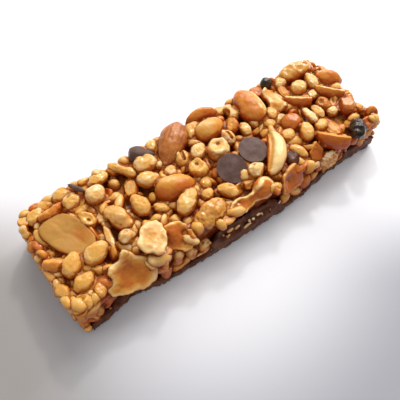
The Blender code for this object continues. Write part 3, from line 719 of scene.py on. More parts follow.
def layAlmond():
    # ridges along the skin: alternate meridians stand out, and a few more by chance
    shape = {"node": "almond", "turn": (0, -3, 42), "long": 14.0, "wide": 7.4, "thick": 6.2, "ridge": 0.16,
             "ribs": 44, "rings": 30, "ribHalf": 6.6, "extraRibs": 0.2, "seed": 5, "point": 0.7,
             "shoulder": (3.0, 3.6), "broader": 0.4, "rough": [(1.6, 0.35), (0.6, 0.12)]}
    deselect()
    bpy.ops.mesh.primitive_uv_sphere_add(segments=shape["ribs"], ring_count=shape["rings"], radius=0.5 * mm)
    nut = bpy.context.object
    nut.name = "almondWhole"
    turnMesh(nut, 0, 90, 0)
    stretch(nut, shape["long"], shape["wide"], shape["thick"])
    grab(nut, (-shape["long"] / 2, 0, 0), (-shape["point"], 0, 0), 2.2)
    x, y = shape["shoulder"]
    for side in (1, -1):
        grab(nut, (x, side * y, 0), (0, side * shape["broader"], 0), 3.0)
    draw = random.Random(shape["seed"])
    raised = {rib for rib in range(shape["ribs"]) if rib % 2 == 0 or draw.random() < shape["extraRibs"]}

    def onRib(co):
        angle = math.atan2(co.z / shape["thick"], co.y / shape["wide"])
        rib = round(angle / (2 * math.pi) * shape["ribs"]) % shape["ribs"]
        return rib in raised and abs(co.x) < shape["ribHalf"]

    pick(nut, onRib)
    bpy.ops.transform.shrink_fatten(value=shape["ridge"] * mm)
    leaveEdit()
    applyModifier(nut, "SUBSURF", levels=1, render_levels=1)
    roughen(nut, shape["rough"])

    def rule(co, normal):
        # paler on the ridges, darker between them
        radius = math.hypot(co.y / shape["wide"], co.z / shape["thick"]) * 2
        along = math.sqrt(max(0.0, 1 - (co.x * 2 / shape["long"]) ** 2))
        return 0.75 - 2.2 * (radius - along * 0.99)

    toastBy(nut, rule)
    layDown(nut, shape, skinFinish, "almond_skin")


def layFlakes():
    leafFlake("flakeBig", {
        "node": "flake_near_left", "turn": (42, 0, -2), "thick": 1.3, "toast": 0.85, "rimToast": 0.1,
        "rimWidth": 2.4, "waves": 0.7, "torn": 0.12, "paleAt": [((0.0, -5.0), 2.6), ((5.6, -4.0), 3.0)],
        "outline": [(0.3, 5.3), (1.4, 5.7), (2.7, 3.8), (3.2, 2.8), (5.0, 1.8), (6.2, 0.1), (6.4, -1.3),
                    (6.9, -3.0), (5.6, -4.5), (3.5, -5.2), (1.3, -5.4), (-1.0, -4.6), (-3.5, -4.1),
                    (-5.7, -3.3), (-6.4, -0.9), (-4.9, -0.4), (-4.1, 0.6), (-4.4, 2.2), (-3.3, 3.3),
                    (-1.1, 3.5), (-0.4, 4.6)],
        "grabs": [((1.0, 0.0, 0.6), (0, 0, -0.7), 4.0), ((-4.6, 1.8, 0.6), (0, 0, 0.5), 2.4),
                  ((0.6, 5.0, 0.6), (0, 0, 0.7), 2.6), ((6, -3, 0.6), (0, 0, -0.4), 2.6),
                  ((-2, -4, 0.6), (0, 0, 0.3), 3.0)]})
    leafFlake("flakeCupped", {
        "node": "flake_cupped", "turn": (10, 6, 58), "thick": 1.3, "toast": 0.3, "rimToast": 0.02,
        "rimWidth": 1.6, "torn": 0.12, "smoothing": 6,
        "outline": [(1.6, 3.2), (3.4, 1.8), (4.0, -0.4), (2.9, -1.8), (1.1, -2.8), (-1.1, -3.3),
                    (-3.6, -2.9), (-5.4, -2.3), (-5.6, -0.6), (-5.0, 0.4), (-5.2, 2.0), (-4.0, 3.4),
                    (-3.0, 4.2), (-1.0, 3.7)],
        "lumps": [((-0.6, 0.2, -0.3), (7.6, 5.4, 2.4))],
        "grabs": [((-1.0, 1.4, 1.0), (0, 0, -0.5), 2.2), ((-0.6, -3.0, 0.6), (0, 0.3, 0.7), 2.0),
                  ((-5.0, 1.6, 0.6), (0, 0, -0.7), 1.6)]})
    leafFlake("flakeFolded", {
        "node": "flake_folded_left", "turn": (30, 6, -30), "thick": 1.3, "toast": 0.92, "rimToast": 0.3,
        "rimWidth": 1.0, "paleAt": [((1.2, -2.6), 2.0)], "torn": 0.15,
        "outline": [(-4.1, 2.0), (-2.5, 2.9), (-0.6, 3.4), (1.2, 2.5), (2.0, 1.2), (2.9, 1.5),
                    (3.6, -0.4), (3.5, -2.2), (2.6, -3.6), (1.0, -4.2), (-1.3, -3.5), (-3.6, -4.4),
                    (-4.4, -2.1)],
        "grabs": [((1.3, 0.4, 0.6), (0, 0, -1.0), 1.6), ((3.2, -0.6, 0.6), (0, 0, 1.0), 1.8),
                  ((-2.2, 0.4, 0.6), (0, 0, 0.6), 2.6), ((0.6, -2.4, 0.6), (0, 0, -0.6), 1.8)]})
    leafFlake("flakeCurled", {
        "node": "flake_curled", "turn": (38, 3, 3), "thick": 1.2, "toast": 0.9, "rimToast": 0.0,
        "rimWidth": 0.9, "smoothing": 4, "torn": 0.08, "waves": 0.3,
        "lumps": [((4.6, 0.1, 0.2), (6.8, 5.8, 3.4)), ((-3.6, -0.5, -0.2), (6.6, 3.0, 1.8))],
        "outline": [(-6.9, 0.2), (-5.4, 1.3), (-3.9, 1.6), (-2.4, 1.3), (-1.0, 0.8), (0.7, 0.9),
                    (2.4, 1.4), (4.1, 2.0), (5.4, 2.5), (6.4, 2.0), (7.2, 0.1), (6.4, -1.9), (3.9, -2.6),
                    (0.7, -1.9), (-1.2, -2.4), (-4.2, -2.5), (-6.0, -1.4)],
        "grabs": [((3.0, 1.6, 0.6), (0, 0, 0.8), 1.6), ((0.2, 0.7, 0.6), (0, 0, 0.8), 1.2),
                  ((-3.4, -2.3, 0.6), (0, -0.2, 0.6), 1.8), ((-3.4, 0.0, 0.8), (0, 0, -0.5), 1.6)]})
    leafFlake("flakeSide", {
        "node": "flake_side", "turn": (58, 0, 14), "thick": 1.2, "toast": 1.0, "rimToast": 0.3,
        "rimWidth": 0.8, "torn": 0.12,
        "outline": [(-4.0, -1.6), (-3.4, 0.8), (-2.0, 3.0), (0.1, 3.6), (3.4, 3.7), (4.7, 2.0),
                    (5.0, -0.2), (4.4, -2.6), (2.4, -3.4), (0.0, -2.6), (-2.4, -2.4)],
        "grabs": [((3.6, 0.6, 0.6), (0, 0, 0.7), 2.2),
                  ((-0.4, 0.4, 0.6), (0, 0, -0.6), 2.4)]}, slot="nut_skin")
    leafFlake("flakeVee", {
        "node": "flake_vee", "turn": (50, 4, -16), "thick": 1.4, "toast": 0.2, "rimToast": 0.0,
        "rimWidth": 1.2, "torn": 0.1, "smoothing": 4,
        "outline": [(-3.6, 2.6), (-2.6, 2.0), (-1.6, 1.0), (0.6, 0.7), (3.2, 1.2), (3.0, -0.3),
                    (0.8, -1.1), (-0.9, -1.6), (-2.1, -0.8), (-3.1, 0.8)],
        "grabs": [((0.4, 0.2, 0.6), (0, 0, -0.6), 1.2), ((-2.8, 1.6, 0.6), (0, 0, 0.6), 1.4)]})
    leafFlake("flakeRed", {
        "node": "flake_red", "turn": (44, 0, 6), "thick": 1.4, "toast": 1.1, "rimToast": 0.4,
        "rimWidth": 0.5, "torn": 0.05, "grain": 0.1,
        "outline": [(2.0, 2.7), (2.4, 1.2), (2.7, -0.5), (2.9, -2.4), (1.3, -3.0), (-1.9, -1.4),
                    (-1.7, 1.0), (0.4, 2.3)],
        "grabs": [((2.2, 0, 0.6), (0, 0, 0.5), 1.4)]}, slot="nut_skin")
    leafFlake("flakeTwisted", {
        "node": "flake_twisted", "turn": (8, 0, 76), "thick": 1.9, "toast": 0.5, "rimToast": 0.1,
        "smoothing": 6,
        "outline": [(-4.4, -1.8), (-4.6, 0.8), (-3.0, 2.5), (-0.6, 2.0), (1.2, 2.2), (3.2, 2.8),
                    (4.6, 1.2), (4.4, -1.4), (2.8, -2.6), (0.4, -2.0), (-2.0, -2.7)],
        "grabs": [((4, 2, 0.6), (0, 0, 1.2), 2.6), ((4, -2, 0.6), (0, 0, -1.2), 2.6),
                  ((-4, 2, 0.6), (0, 0, -1.2), 2.6), ((-4, -2, 0.6), (0, 0, 1.2), 2.6)]})
    print("flakes laid")


# chocolate
def addDrop(name, shape):
    # a flat-based drop, turned base up, its rim rounded and its flank hollowed towards the tip
    wide, deep = shape["wide"], shape["deep"]
    deselect()
    bpy.ops.mesh.primitive_cone_add(vertices=48, radius1=wide * 0.1 * mm, radius2=wide / 2 * mm,
                                    depth=deep * mm, location=(0, 0, -deep / 2 * mm))
    drop = bpy.context.object
    drop.name = name
    bpy.ops.object.transform_apply(location=True, rotation=True, scale=True)
    edit(drop)
    bpy.ops.mesh.subdivide(number_cuts=3)
    leaveEdit()
    pick(drop, lambda co: -deep * 0.75 < co.z < -deep * 0.3)
    bpy.ops.transform.resize(value=(0.86, 0.86, 1), center_override=(0, 0, 0))
    leaveEdit()
    evenMesh(drop, 0.2, 5)
    grabAll(drop, shape["grabs"])
    roughen(drop, [(2.6, 0.2), (0.5, 0.03)])
    layDown(drop, shape, dropFinish, "chocolate")


def layDrops():
    addDrop("dropLeft", {
        "node": "chip_flat_left", "turn": (24, -4, 0), "wide": 8.3, "deep": 4.2,
        "grabs": [((1.2, -4.2, 0), (0.3, -0.8, 0), 2.8), ((0, 0, 0), (0, 0, 0.25), 3.0)]})
    addDrop("dropRight", {
        "node": "chip_flat_right", "turn": (10, 2, 0), "wide": 8.1, "deep": 4.0,
        "grabs": [((0.5, 0.5, 0), (0, 0, 0.2), 3.0)]})
    lumpNut("dropOnItsSide", {
        "node": "chip_on_its_side", "turn": (10, 6, -30), "long": 5.6, "wide": 5.0, "thick": 4.8,
        "waves": 0.3, "grain": 0.04, "facets": [((-2.1, 0, 0), (-1, 0, 0.15))],
        "grabs": [((2.8, 0, 0.3), (2.4, 0, -0.2), 2.2)]}, dropFinish, "chocolate")
    lumpNut("dropFar", {
        "node": "chip_far_right", "turn": (0, 0, 20), "long": 4.2, "wide": 3.4, "thick": 3.8,
        "waves": 0.5}, stickyFinish, "chocolate")
    lumpNut("chunkDark", {
        "node": "chocolate_chunk", "turn": (0, 4, 52), "long": 7.6, "wide": 4.8, "thick": 5.4,
        "waves": 0.3,
        "facets": [((0, 0, 2.2), (0, 0.1, 1)), ((0, -1.9, 0), (0.1, -1, 0.1)), ((0, 1.9, 0), (0, 1, 0.1)),
                   ((3.1, 0, 0), (1, 0, 0.2)), ((-2.9, 0, 0), (-1, 0.2, 0))]}, baseFinish, "chocolate")
    lumpNut("dropGlazed", {
        "node": "chip_glazed", "turn": (10, 4, 50), "long": 7.6, "wide": 4.6, "thick": 4.4,
        "waves": 1.0, "lobe": 1.8,
        "grabs": [((3.8, 0, 0.5), (0.3, 0, 0.3), 1.6), ((0.6, 0.4, 2.2), (0, 0, -0.6), 1.0),
                  ((-1.6, -0.6, 2.2), (0, 0, 0.4), 1.2)]}, stickyFinish, "chocolate")
    lumpNut("shaving", {
        "node": "chocolate_shaving", "turn": (15, 10, -55), "long": 5.0, "wide": 1.4, "thick": 1.2,
        "waves": 0.2}, dropFinish, "chocolate")


def layBase():
    # the coat: its solid in a fine mesh, lumps pressed into the walls, hollows along the near side;
    # a hollow is left, right, floor, roof and depth
    shape = {"seed": 7, "count": 190, "size": (1.2, 3.4), "long": (0.9, 1.7), "high": (0.6, 1.0),
             "sunk": 0.32, "wallFloor": 0.8, "wallRoof": 9, "nearWall": -14.6, "hollowReach": 1.2,
             "hollows": [(-9.5, 7.5, 5.6, 8.6, 1.3), (-52, -13, 3.6, 9, 1.9), (12, 52, 3.6, 9, 1.9)],
             "leftEnd": -48.6, "leftIn": 1.6, "leftReach": 2, "level": 1.2,
             "rough": [(2.4, 0.7), (1.1, 0.5), (0.6, 0.25)]}
    solid = frame["nodes"]["chocolate_base"]
    base = solid.copy()
    base.data = solid.data.copy()
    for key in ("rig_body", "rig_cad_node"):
        del base[key]
    base.parent = None
    base.name = "chocolateBase"
    bpy.context.scene.collection.objects.link(base)
    edit(base)
    bpy.ops.mesh.remove_doubles(threshold=0.001 * mm)
    leaveEdit()
    evenMesh(base, 0.5, 0)
    draw = random.Random(shape["seed"])
    walls = [(vert.co.copy(), vert.normal.copy()) for vert in base.data.vertices
             if abs(vert.normal.z) < 0.5 and shape["wallFloor"] * mm < vert.co.z < shape["wallRoof"] * mm]
    master = addBall("lump", 1, 1, 1, 2)
    parts = [base]
    for place, normal in draw.sample(walls, shape["count"]):
        size = draw.uniform(*shape["size"])
        lump = copyOf(master)
        lump.scale = (size * draw.uniform(*shape["long"]), size, size * draw.uniform(*shape["high"]))
        lump.location = place - normal * shape["sunk"] * size * mm
        parts.append(lump)
    discard(master)
    base = joined("chocolateBase", parts)
    evenMesh(base, 0.36, 1)
    for left, right, floor, roof, depth in shape["hollows"]:
        pick(base, lambda co: co.y < shape["nearWall"] and left < co.x < right and floor < co.z < roof)
        pull((0, depth, 0), shape["hollowReach"])
        leaveEdit()
    pick(base, lambda co: co.x < shape["leftEnd"])
    pull((shape["leftIn"], 0, 0), shape["leftReach"])
    leaveEdit()
    roughen(base, shape["rough"])
    for vert in base.data.vertices:                              # the underside is level again
        if vert.co.z < 0 or (vert.co.z < shape["level"] * mm and vert.normal.z < -0.6):
            vert.co.z = 0
    serve(base, baseFinish, "chocolate", "chocolate_base")
    print("chocolate laid")


# crisps and nut bits: each kind is modelled once, one millimetre across, and copied to its places
def bluntEgg(crisp):
    # an egg, blunt at one end and flatter above and below
    pick(crisp, lambda co: co.x > 0.34)
    bpy.ops.transform.resize(value=(1, 0.85, 0.85), use_proportional_edit=True, proportional_size=0.5 * mm)
    leaveEdit()
    for side in (1, -1):
        pick(crisp, lambda co: co.z * side > 0.38)
        bpy.ops.transform.resize(value=(1, 1, 0.35), center_override=(0, 0, side * 0.38 * mm))
        leaveEdit()


def slitTop(crisp):
    # a narrow slit, a little aslant
    pick(crisp, lambda co: abs(co.y - 0.15 * co.x) < 0.04 and co.z > 0.25 and abs(co.x) < 0.26)
    pull((0, 0, -0.3), 0.12)
    leaveEdit()


def drawnWaist(crisp):
    # thinner in the middle
    pick(crisp, lambda co: abs(co.x) < 0.07)
    bpy.ops.transform.resize(value=(1, 0.66, 0.74), use_proportional_edit=True, proportional_size=0.3 * mm)
    leaveEdit()


# a crater is a puffed ball fallen in on itself: a shallow dish with a small deep hole
crispShapes = {
    "smooth": {"first": bluntEgg},
    "notched": {
        "grabs": [((0.1, 0.3, 0.4), (0, -0.07, -0.17), 0.26), ((-0.4, -0.2, 0.2), (-0.05, 0, 0.05), 0.3),
                  ((0.35, -0.3, 0.2), (0.06, -0.04, 0), 0.3)]},
    "slit": {
        "first": slitTop,
        "grabs": [((0.1, 0.3, 0.42), (0, 0, 0.1), 0.25), ((0.45, 0.1, 0.1), (0.12, 0.05, 0.08), 0.25)]},
    "crater": {
        "grabs": [((0.05, 0.05, 0.5), (0, 0, -0.2), 0.42), ((0.12, 0.0, 0.3), (0, 0, -0.16), 0.12),
                  ((-0.3, 0.2, 0.4), (-0.04, 0, 0.08), 0.26), ((0.3, -0.25, 0.35), (0.06, 0, 0.07), 0.26)]},
    "bean": {"first": drawnWaist, "grabs": [((0, 0.4, 0), (0, -0.14, 0), 0.3)]},
}

# the cuts through a chopped nut: a point on each cut, and the side of it that goes
chunkCuts = {
    "flat": [((0, 0, 0.2), (0.15, -0.1, 1)), ((0.34, 0, 0), (1, 0.2, 0.1))],
    "faceted": [((0, 0, 0.26), (0.2, 0.3, 1)), ((0, 0.26, 0), (0.1, 1, 0.3)),
                ((0, -0.3, 0), (-0.3, -1, 0.5)), ((0.36, 0, 0), (1, 0.1, 0.4)),
                ((-0.34, 0, 0), (-1, 0.3, 0.2))],
    "wedge": [((0, 0.1, 0.1), (0, 0.7, 1)), ((0.36, 0, 0), (1, -0.3, 0))],
    "sliver": [((0, 0, 0.15), (0, 0.2, 1)), ((0, 0, -0.2), (0, 0.1, -1))],
}


def makeCrisp(kind, detail):
    shape = crispShapes[kind]
    crisp = addBall(kind + "Crisp", 1, 1, 1, detail)
    if "first" in shape:
        shape["first"](crisp)
    grabAll(crisp, shape.get("grabs", ()))
    return crisp


def makeChunk(kind, detail, cell=0.0):
    # a chopped bit: flat cut faces, and edges rounded by the syrup
    nut = addBall("chunkNut", 1, 1, 1, detail)
    for point, normal in chunkCuts[kind]:
        cutAway(nut, point, normal)
    applyModifier(nut, "BEVEL", width=0.05 * mm, segments=2, limit_method="ANGLE",
                  angle_limit=math.radians(28))
    if cell:
        evenMesh(nut, cell, 2)
    applyModifier(nut, "TRIANGULATE")
    return nut


def makeMasters(kinds, detail):
    # the finer ones are for the pieces that the photo shows one by one
    cell = 0.045 if detail > 4 else 0.09
    return {kind: makeCrisp(kind, detail) if kind in crispShapes else makeChunk(kind, detail, cell)
            for kind in kinds}


# what shows one by one: kind, x, y, height of the middle, long, wide, heading, toast
placedCrisps = [
    ("smooth", -45.2, 13.0, 11.6, 5.4, 4.2, 30, 0.35), ("smooth", -41.8, 14.8, 11.0, 6.6, 3.6, 5, 0.4),
    ("smooth", -37.2, 14.6, 11.8, 5.2, 4.2, -10, 0.3), ("notched", -36.0, 11.4, 12.2, 5.2, 4.4, 30, 0.3),
    ("smooth", -30.0, 9.4, 13.0, 5.8, 5.2, 40, 0.2), ("smooth", -34.8, 8.0, 11.4, 5.0, 3.2, 10, 0.5),
    ("crater", -35.2, 4.4, 12.2, 5.4, 3.8, -70, 0.45), ("smooth", -44.0, -4.8, 13.0, 6.6, 4.8, 48, 0.33),
    ("smooth", -38.0, -5.4, 13.2, 7.0, 5.2, 22, 0.3), ("smooth", -43.8, -9.8, 12.2, 5.8, 4.4, 18, 0.4),
    ("smooth", -48.8, -8.6, 11.6, 5.0, 3.2, 98, 0.4), ("notched", -46.4, -13.6, 11.0, 5.6, 4.2, 8, 0.5),
    ("smooth", -41.6, -13.0, 11.2, 4.2, 3.2, 60, 0.6), ("notched", -29.8, -5.4, 12.4, 4.4, 3.8, 20, 0.2),
    ("smooth", -33.2, -2.8, 12.2, 6.8, 2.2, 80, 0.25), ("smooth", -27.2, 13.2, 12.6, 6.2, 3.6, 6, 0.4),
    ("smooth", -26.6, 15.0, 11.4, 5.6, 3.4, 0, 0.35), ("bean", -20.6, 12.2, 12.8, 8.4, 3.6, -58, 0.4),
    ("notched", -14.6, 10.4, 12.6, 6.6, 5.6, 10, 0.28), ("smooth", -9.8, 14.6, 12.4, 4.4, 3.6, 30, 0.3),
    ("bean", -10.6, 8.6, 12.2, 5.0, 3.0, 15, 0.15), ("smooth", -10.2, 4.8, 12.0, 4.0, 3.6, 40, 0.25),
    ("smooth", -16.6, 5.6, 12.8, 6.4, 4.8, -10, 0.27), ("slit", -5.6, 6.6, 12.2, 5.4, 4.8, 70, 0.3),
    ("smooth", -0.8, 5.6, 12.8, 6.4, 4.2, 36, 0.2), ("crater", -4.0, 1.0, 12.6, 5.8, 5.2, 88, 0.45),
    ("smooth", -22.4, 0.2, 12.9, 7.0, 4.5, 94, 0.33), ("smooth", -18.4, -3.2, 12.2, 4.4, 3.0, -50, 0.35),
    ("smooth", -12.2, -5.8, 13.0, 9.0, 5.0, 36, 0.3), ("smooth", -6.6, -6.6, 12.2, 3.8, 3.0, 20, 0.35),
    ("smooth", -4.8, -3.2, 11.8, 4.2, 3.4, 60, 0.5), ("smooth", -27.6, -4.4, 11.6, 3.8, 3.2, 50, 0.4),
    ("notched", -1.6, -8.8, 12.4, 5.8, 3.8, -60, 0.4), ("smooth", 2.4, 13.2, 12.0, 7.4, 4.6, 36, 0.35),
    ("smooth", 13.2, 14.8, 11.4, 5.2, 3.6, 10, 0.35), ("bean", 15.2, 12.0, 12.4, 6.0, 4.2, 88, 0.25),
    ("smooth", 14.4, 4.6, 12.8, 5.0, 3.2, 80, 0.2), ("smooth", 18.2, 5.8, 12.2, 4.0, 3.2, 80, 0.2),
    ("smooth", 24.2, 5.0, 12.6, 4.8, 3.6, 70, 0.35), ("crater", 3.8, 2.8, 13.0, 7.2, 6.2, 60, 0.25),
    ("slit", 8.6, 4.6, 12.8, 4.8, 4.2, 80, 0.25), ("notched", 8.0, -8.2, 12.8, 4.8, 4.2, 40, 0.15),
    ("smooth", 22.0, 2.4, 11.8, 4.2, 3.4, 0, 0.45), ("smooth", 22.8, -4.0, 12.4, 5.0, 4.2, 20, 0.3),
    ("smooth", 21.6, -9.6, 12.2, 5.6, 3.4, -62, 0.3), ("smooth", 34.8, 13.2, 11.8, 5.0, 4.0, 30, 0.28),
    ("smooth", 37.4, 8.2, 12.6, 5.8, 4.8, 10, 0.28), ("smooth", 42.0, 7.8, 12.8, 6.6, 3.8, 76, 0.3),
    ("smooth", 39.2, 4.0, 12.0, 4.0, 3.0, 40, 0.3), ("smooth", 32.2, -2.2, 13.0, 6.8, 2.9, 82, 0.15),
    ("smooth", 35.2, -2.2, 12.8, 5.6, 2.7, 80, 0.3), ("notched", 38.8, -0.8, 12.4, 4.6, 3.8, 88, 0.85),
    ("smooth", 39.4, -4.2, 12.0, 3.6, 3.2, 0, 0.2), ("smooth", 27.4, -6.2, 13.2, 6.2, 4.2, 56, 0.3),
    ("smooth", 32.8, -6.4, 12.6, 5.0, 3.4, 20, 0.4), ("smooth", 35.2, -13.6, 11.0, 3.6, 3.0, 0, 0.35),
    ("notched", 47.8, -12.6, 9.6, 4.6, 3.4, 84, 0.3),
]

placedNuts = [
    ("wedge", -41.6, 11.6, 12.4, 7.6, 4.6, 12, 0.75), ("faceted", -32.4, 14.6, 11.6, 6.0, 3.4, -10, 1.0),
    ("faceted", -48.2, 9.2, 11.4, 5.6, 3.6, 88, 0.45), ("faceted", -48.4, 3.4, 11.7, 6.2, 5.2, 20, 0.85),
    ("wedge", -47.4, -1.8, 12.0, 6.4, 5.0, -34, 0.65), ("flat", -41.6, -14.2, 8.2, 5.6, 3.4, 20, 0.9),
    ("faceted", -47.2, -14.4, 6.6, 6.0, 3.8, 70, 0.6), ("faceted", -25.2, 7.8, 12.8, 5.8, 4.2, 78, 0.15),
    ("wedge", -21.4, 6.2, 12.0, 5.4, 3.8, 70, 0.75), ("flat", -18.8, 15.0, 11.4, 4.6, 3.4, 20, 0.8),
    ("wedge", 12.2, 8.0, 12.2, 5.6, 4.8, 60, 0.8), ("faceted", 17.2, 2.0, 12.4, 5.0, 4.6, 30, 0.6),
    ("flat", 26.2, 14.2, 11.8, 5.0, 4.2, -30, 1.0), ("wedge", 33.0, 9.6, 12.0, 5.4, 2.8, 88, 1.0),
    ("faceted", 48.8, 12.2, 11.8, 4.8, 4.2, 60, 1.1), ("wedge", 35.0, -9.2, 11.8, 5.8, 3.8, 86, 0.95),
    ("faceted", 38.6, -8.0, 12.2, 6.2, 4.2, 78, 0.6), ("faceted", 46.4, -8.8, 11.6, 5.6, 4.6, 84, 0.6),
    ("faceted", 44.8, -13.6, 9.2, 5.4, 4.2, 60, 0.55), ("smooth", 40.4, -13.8, 7.4, 6.4, 5.0, 85, 1.1),
    ("faceted", -44.4, -15.6, 3.2, 5.6, 3.8, 15, 0.55), ("flat", -41.0, -15.4, 5.4, 5.4, 3.6, -20, 0.7),
    ("faceted", 37.4, -3.8, 11.8, 4.6, 3.4, 20, 0.9),
]

# in millimetres and degrees; the fill is what lies under and between the placed pieces
heap = {"seed": 41, "mostFaces": 190000,
        "placedDetail": 5, "placedFlat": 0.92, "placedRough": [(3.0, 0.6), (1.3, 0.34), (0.6, 0.14)],
        "fillDetail": 3, "fillFlat": 0.9, "fillRough": [(2.6, 0.6), (0.9, 0.2)],
        "fillLong": (3.2, 6.4), "fillWide": (2.5, 4.2),
        "fillCrisps": ["smooth", "smooth", "notched", "bean"],
        "nutShare": 0.38, "moreNutsRight": 0.25, "darkerRight": 0.15,
        "topFrom": (-49.5, -16), "topSpan": (101, 34), "topStep": 2.9, "topHeight": (10.6, 11.6),
        "sideHalf": (48.5, 14.5), "sideStep": 3.9, "sideLevels": (4.0, 6.6, 9.2, 11.0), "sideTip": 70,
        "sideIn": 1.5, "endIn": 1.6, "inCavity": 1.3, "overCavity": 8}


def nearEdge(x):
    swell = 0.8 * (1 - math.exp(-(x / 16) ** 2))
    return -17.3 + swell + 2.2 * math.exp(-((x + 36) / 6) ** 2) + 2.0 * ramp(x, 16, 34)


def farEdge(x):
    return 16.9 - 0.4 * math.sin(x * 0.21)


def leftEnd(y):
    return -50.8 + 1.6 * ramp(abs(y), 10, 17)


def rightEnd(y):
    return 50.8 - 1.5 * (1 - ramp(y, 0, 7)) + 1.1 * ramp(-y, 7, 12) - 1.6 * ramp(y, 10, 17)


def lay(master, place, size, turn, toast):
    # one copy with its own mesh, kept within the bar's sides
    made = copyOf(master)
    made.rotation_euler = Euler([math.radians(angle) for angle in turn], "XYZ")
    made.scale = size
    box = made.rotation_euler.to_matrix()
    reachX, reachY, reachZ = [sum(abs(row[own]) * size[own] * 0.45 for own in range(3)) for row in box]
    x = min(max(place[0], leftEnd(place[1]) + reachX), rightEnd(place[1]) - reachX)
    y = min(max(place[1], nearEdge(x) + reachY), farEdge(x) + 0.4 - reachY)
    made.location = Vector((x, y, max(place[2], reachZ + 0.3))) * mm
    below = box.transposed() @ Vector((0, 0, -1))       # the underside, syruped and painted in shade, in the copy's own axes

    def puffed(co, normal):
        # darker below, partly syrup and partly painted shade, and a shade darker inside the rim of its face
        face = ramp(abs(co.z), 0.2, 0.36) * (1 - ramp(math.hypot(co.x, co.y), 0.22, 0.4))
        return toast + 0.3 * ramp(co.dot(below), -0.2, 0.45) + 0.14 * face

    def chopped(co, normal):
        # roasted on its cut faces, paler on the edges between them, and darker below as painted shade
        hull = ramp(co.length, 0.42, 0.49)
        facing = max(abs(part) for part in normal)
        edge = (1 - hull) * ramp(1 - facing, 0.02, 0.16)
        return mixed(toast, toast * 0.35, edge) + 0.2 * ramp(co.dot(below), 0, 0.4)

    toastBy(made, chopped if master.name.startswith("chunk") else puffed)
    return made


def thinOut(piece):
    # keeps a scattered piece under its limit of triangles
    triangles = trianglesOf(piece)
    if triangles > heap["mostFaces"]:
        applyModifier(piece, "DECIMATE", ratio=heap["mostFaces"] / triangles)


def pour(name, pieces, rough, finish):
    # many small copies become one piece, each roughened by where it lies
    whole = joined(name, pieces)
    roughen(whole, rough)
    thinOut(whole)
    serve(whole, finish, "crisp_and_nut", "nut_and_crisp_mass")


def layPlaced(name, rows, finish, draw):
    # the rows' pieces, each tipped a little by chance
    masters = makeMasters(sorted({row[0] for row in rows}), heap["placedDetail"])
    pieces = []
    for kind, x, y, z, long, wide, heading, toast in rows:
        turn = (draw.uniform(-20, 20), draw.uniform(-8, 8), heading)
        shade = toast + draw.uniform(-0.05, 0.05)
        size = (long, wide, wide * heap["placedFlat"])
        pieces.append(lay(masters[kind], (x, y, z), size, turn, shade))
    for master in masters.values():
        discard(master)
    pour(name, pieces, heap["placedRough"], finish)


def largePieces():
    # what the fill keeps clear of: circles round the large pieces on top, and their boxes down the sides
    spread = ("flake_near_left", "flake_side", "flake_vee", "flake_red")        # these hide more under them
    circles = [(row[1], row[2], 0.36 * row[4]) for row in placedCrisps + placedNuts]
    boxes = []
    for node in frame["nodes"]:
        if node not in ("chocolate_base", "nut_and_crisp_mass"):
            low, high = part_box(node)
            middle = (low + high) / 2 / mm
            reach = 0.42 if node in spread else 0.3
            circles.append((middle.x, middle.y, reach * max(high.x - low.x, high.y - low.y) / mm))
            boxes.append((low / mm, high / mm))
    boxes.append((Vector((27, -17, 3)), Vector((33.5, -12, 10))))       # room for the crisp broken open
    return circles, boxes


def topPlaces(draw, circles):
    # a jittered grid, lower where it runs under a large piece
    step = heap["topStep"]
    columns, rows = [int(length / step) + 1 for length in heap["topSpan"]]
    for i in range(columns):
        for j in range(rows):
            x = heap["topFrom"][0] + i * step + draw.uniform(-1, 1)
            y = heap["topFrom"][1] + j * step + draw.uniform(-1, 1)
            free = min(math.hypot(x - a, y - b) - reach for a, b, reach in circles)
            height = mixed(*heap["topHeight"], ramp(free, 0, 2)) + draw.uniform(-0.4, 0.4)
            if free > -0.5 and nearEdge(x) + 1.4 < y < farEdge(x) - 1.2:
                yield (x, y, height), draw.uniform(0, 180), 0


def sidePlaces(draw, boxes):
    # rows down the four sides; the middle of the near side has them only above its chocolate wall
    def hidden(x, y, z):
        return any(low.x - 0.5 < x < high.x + 0.5 and low.y - 1 < y < high.y + 1 and low.z - 1.5 < z < high.z
                   for low, high in boxes)

    def tipped(x, y, level, heading):
        place = (x, y, level + draw.uniform(-0.5, 0.5))
        return place, heading, draw.uniform(-heap["sideTip"], heap["sideTip"])

    halfLong, halfWide = heap["sideHalf"]
    for level in heap["sideLevels"]:
        x = -halfLong
        while x < halfLong:
            cavity = ramp(x, -15, -11) * (1 - ramp(x, 9, 13))
            y = nearEdge(x) + heap["sideIn"] + heap["inCavity"] * cavity
            if (cavity < 0.5 or level > heap["overCavity"]) and not hidden(x, y, level):
                yield tipped(x, y, level, 0)
            yield tipped(x, farEdge(x) - heap["sideIn"], level, 0)
            x += heap["sideStep"] * draw.uniform(0.8, 1.2)
        y = -halfWide
        while y < halfWide:
            for end in (leftEnd(y) + heap["endIn"], rightEnd(y) - heap["endIn"]):
                yield tipped(end, y + draw.uniform(-0.6, 0.6), level, 90)
            if level == heap["sideLevels"][0]:             # down to the table at the left end
                place = (leftEnd(y) + 1.7, y + draw.uniform(-0.6, 0.6), draw.uniform(1.7, 2.2))
                yield place, 90, draw.uniform(-30, 30)
            y += heap["sideStep"] * draw.uniform(0.8, 1.2)


def fillPlaces(draw):
    # place, heading and tip of every small piece between the large ones
    circles, boxes = largePieces()
    yield from topPlaces(draw, circles)
    yield from sidePlaces(draw, boxes)


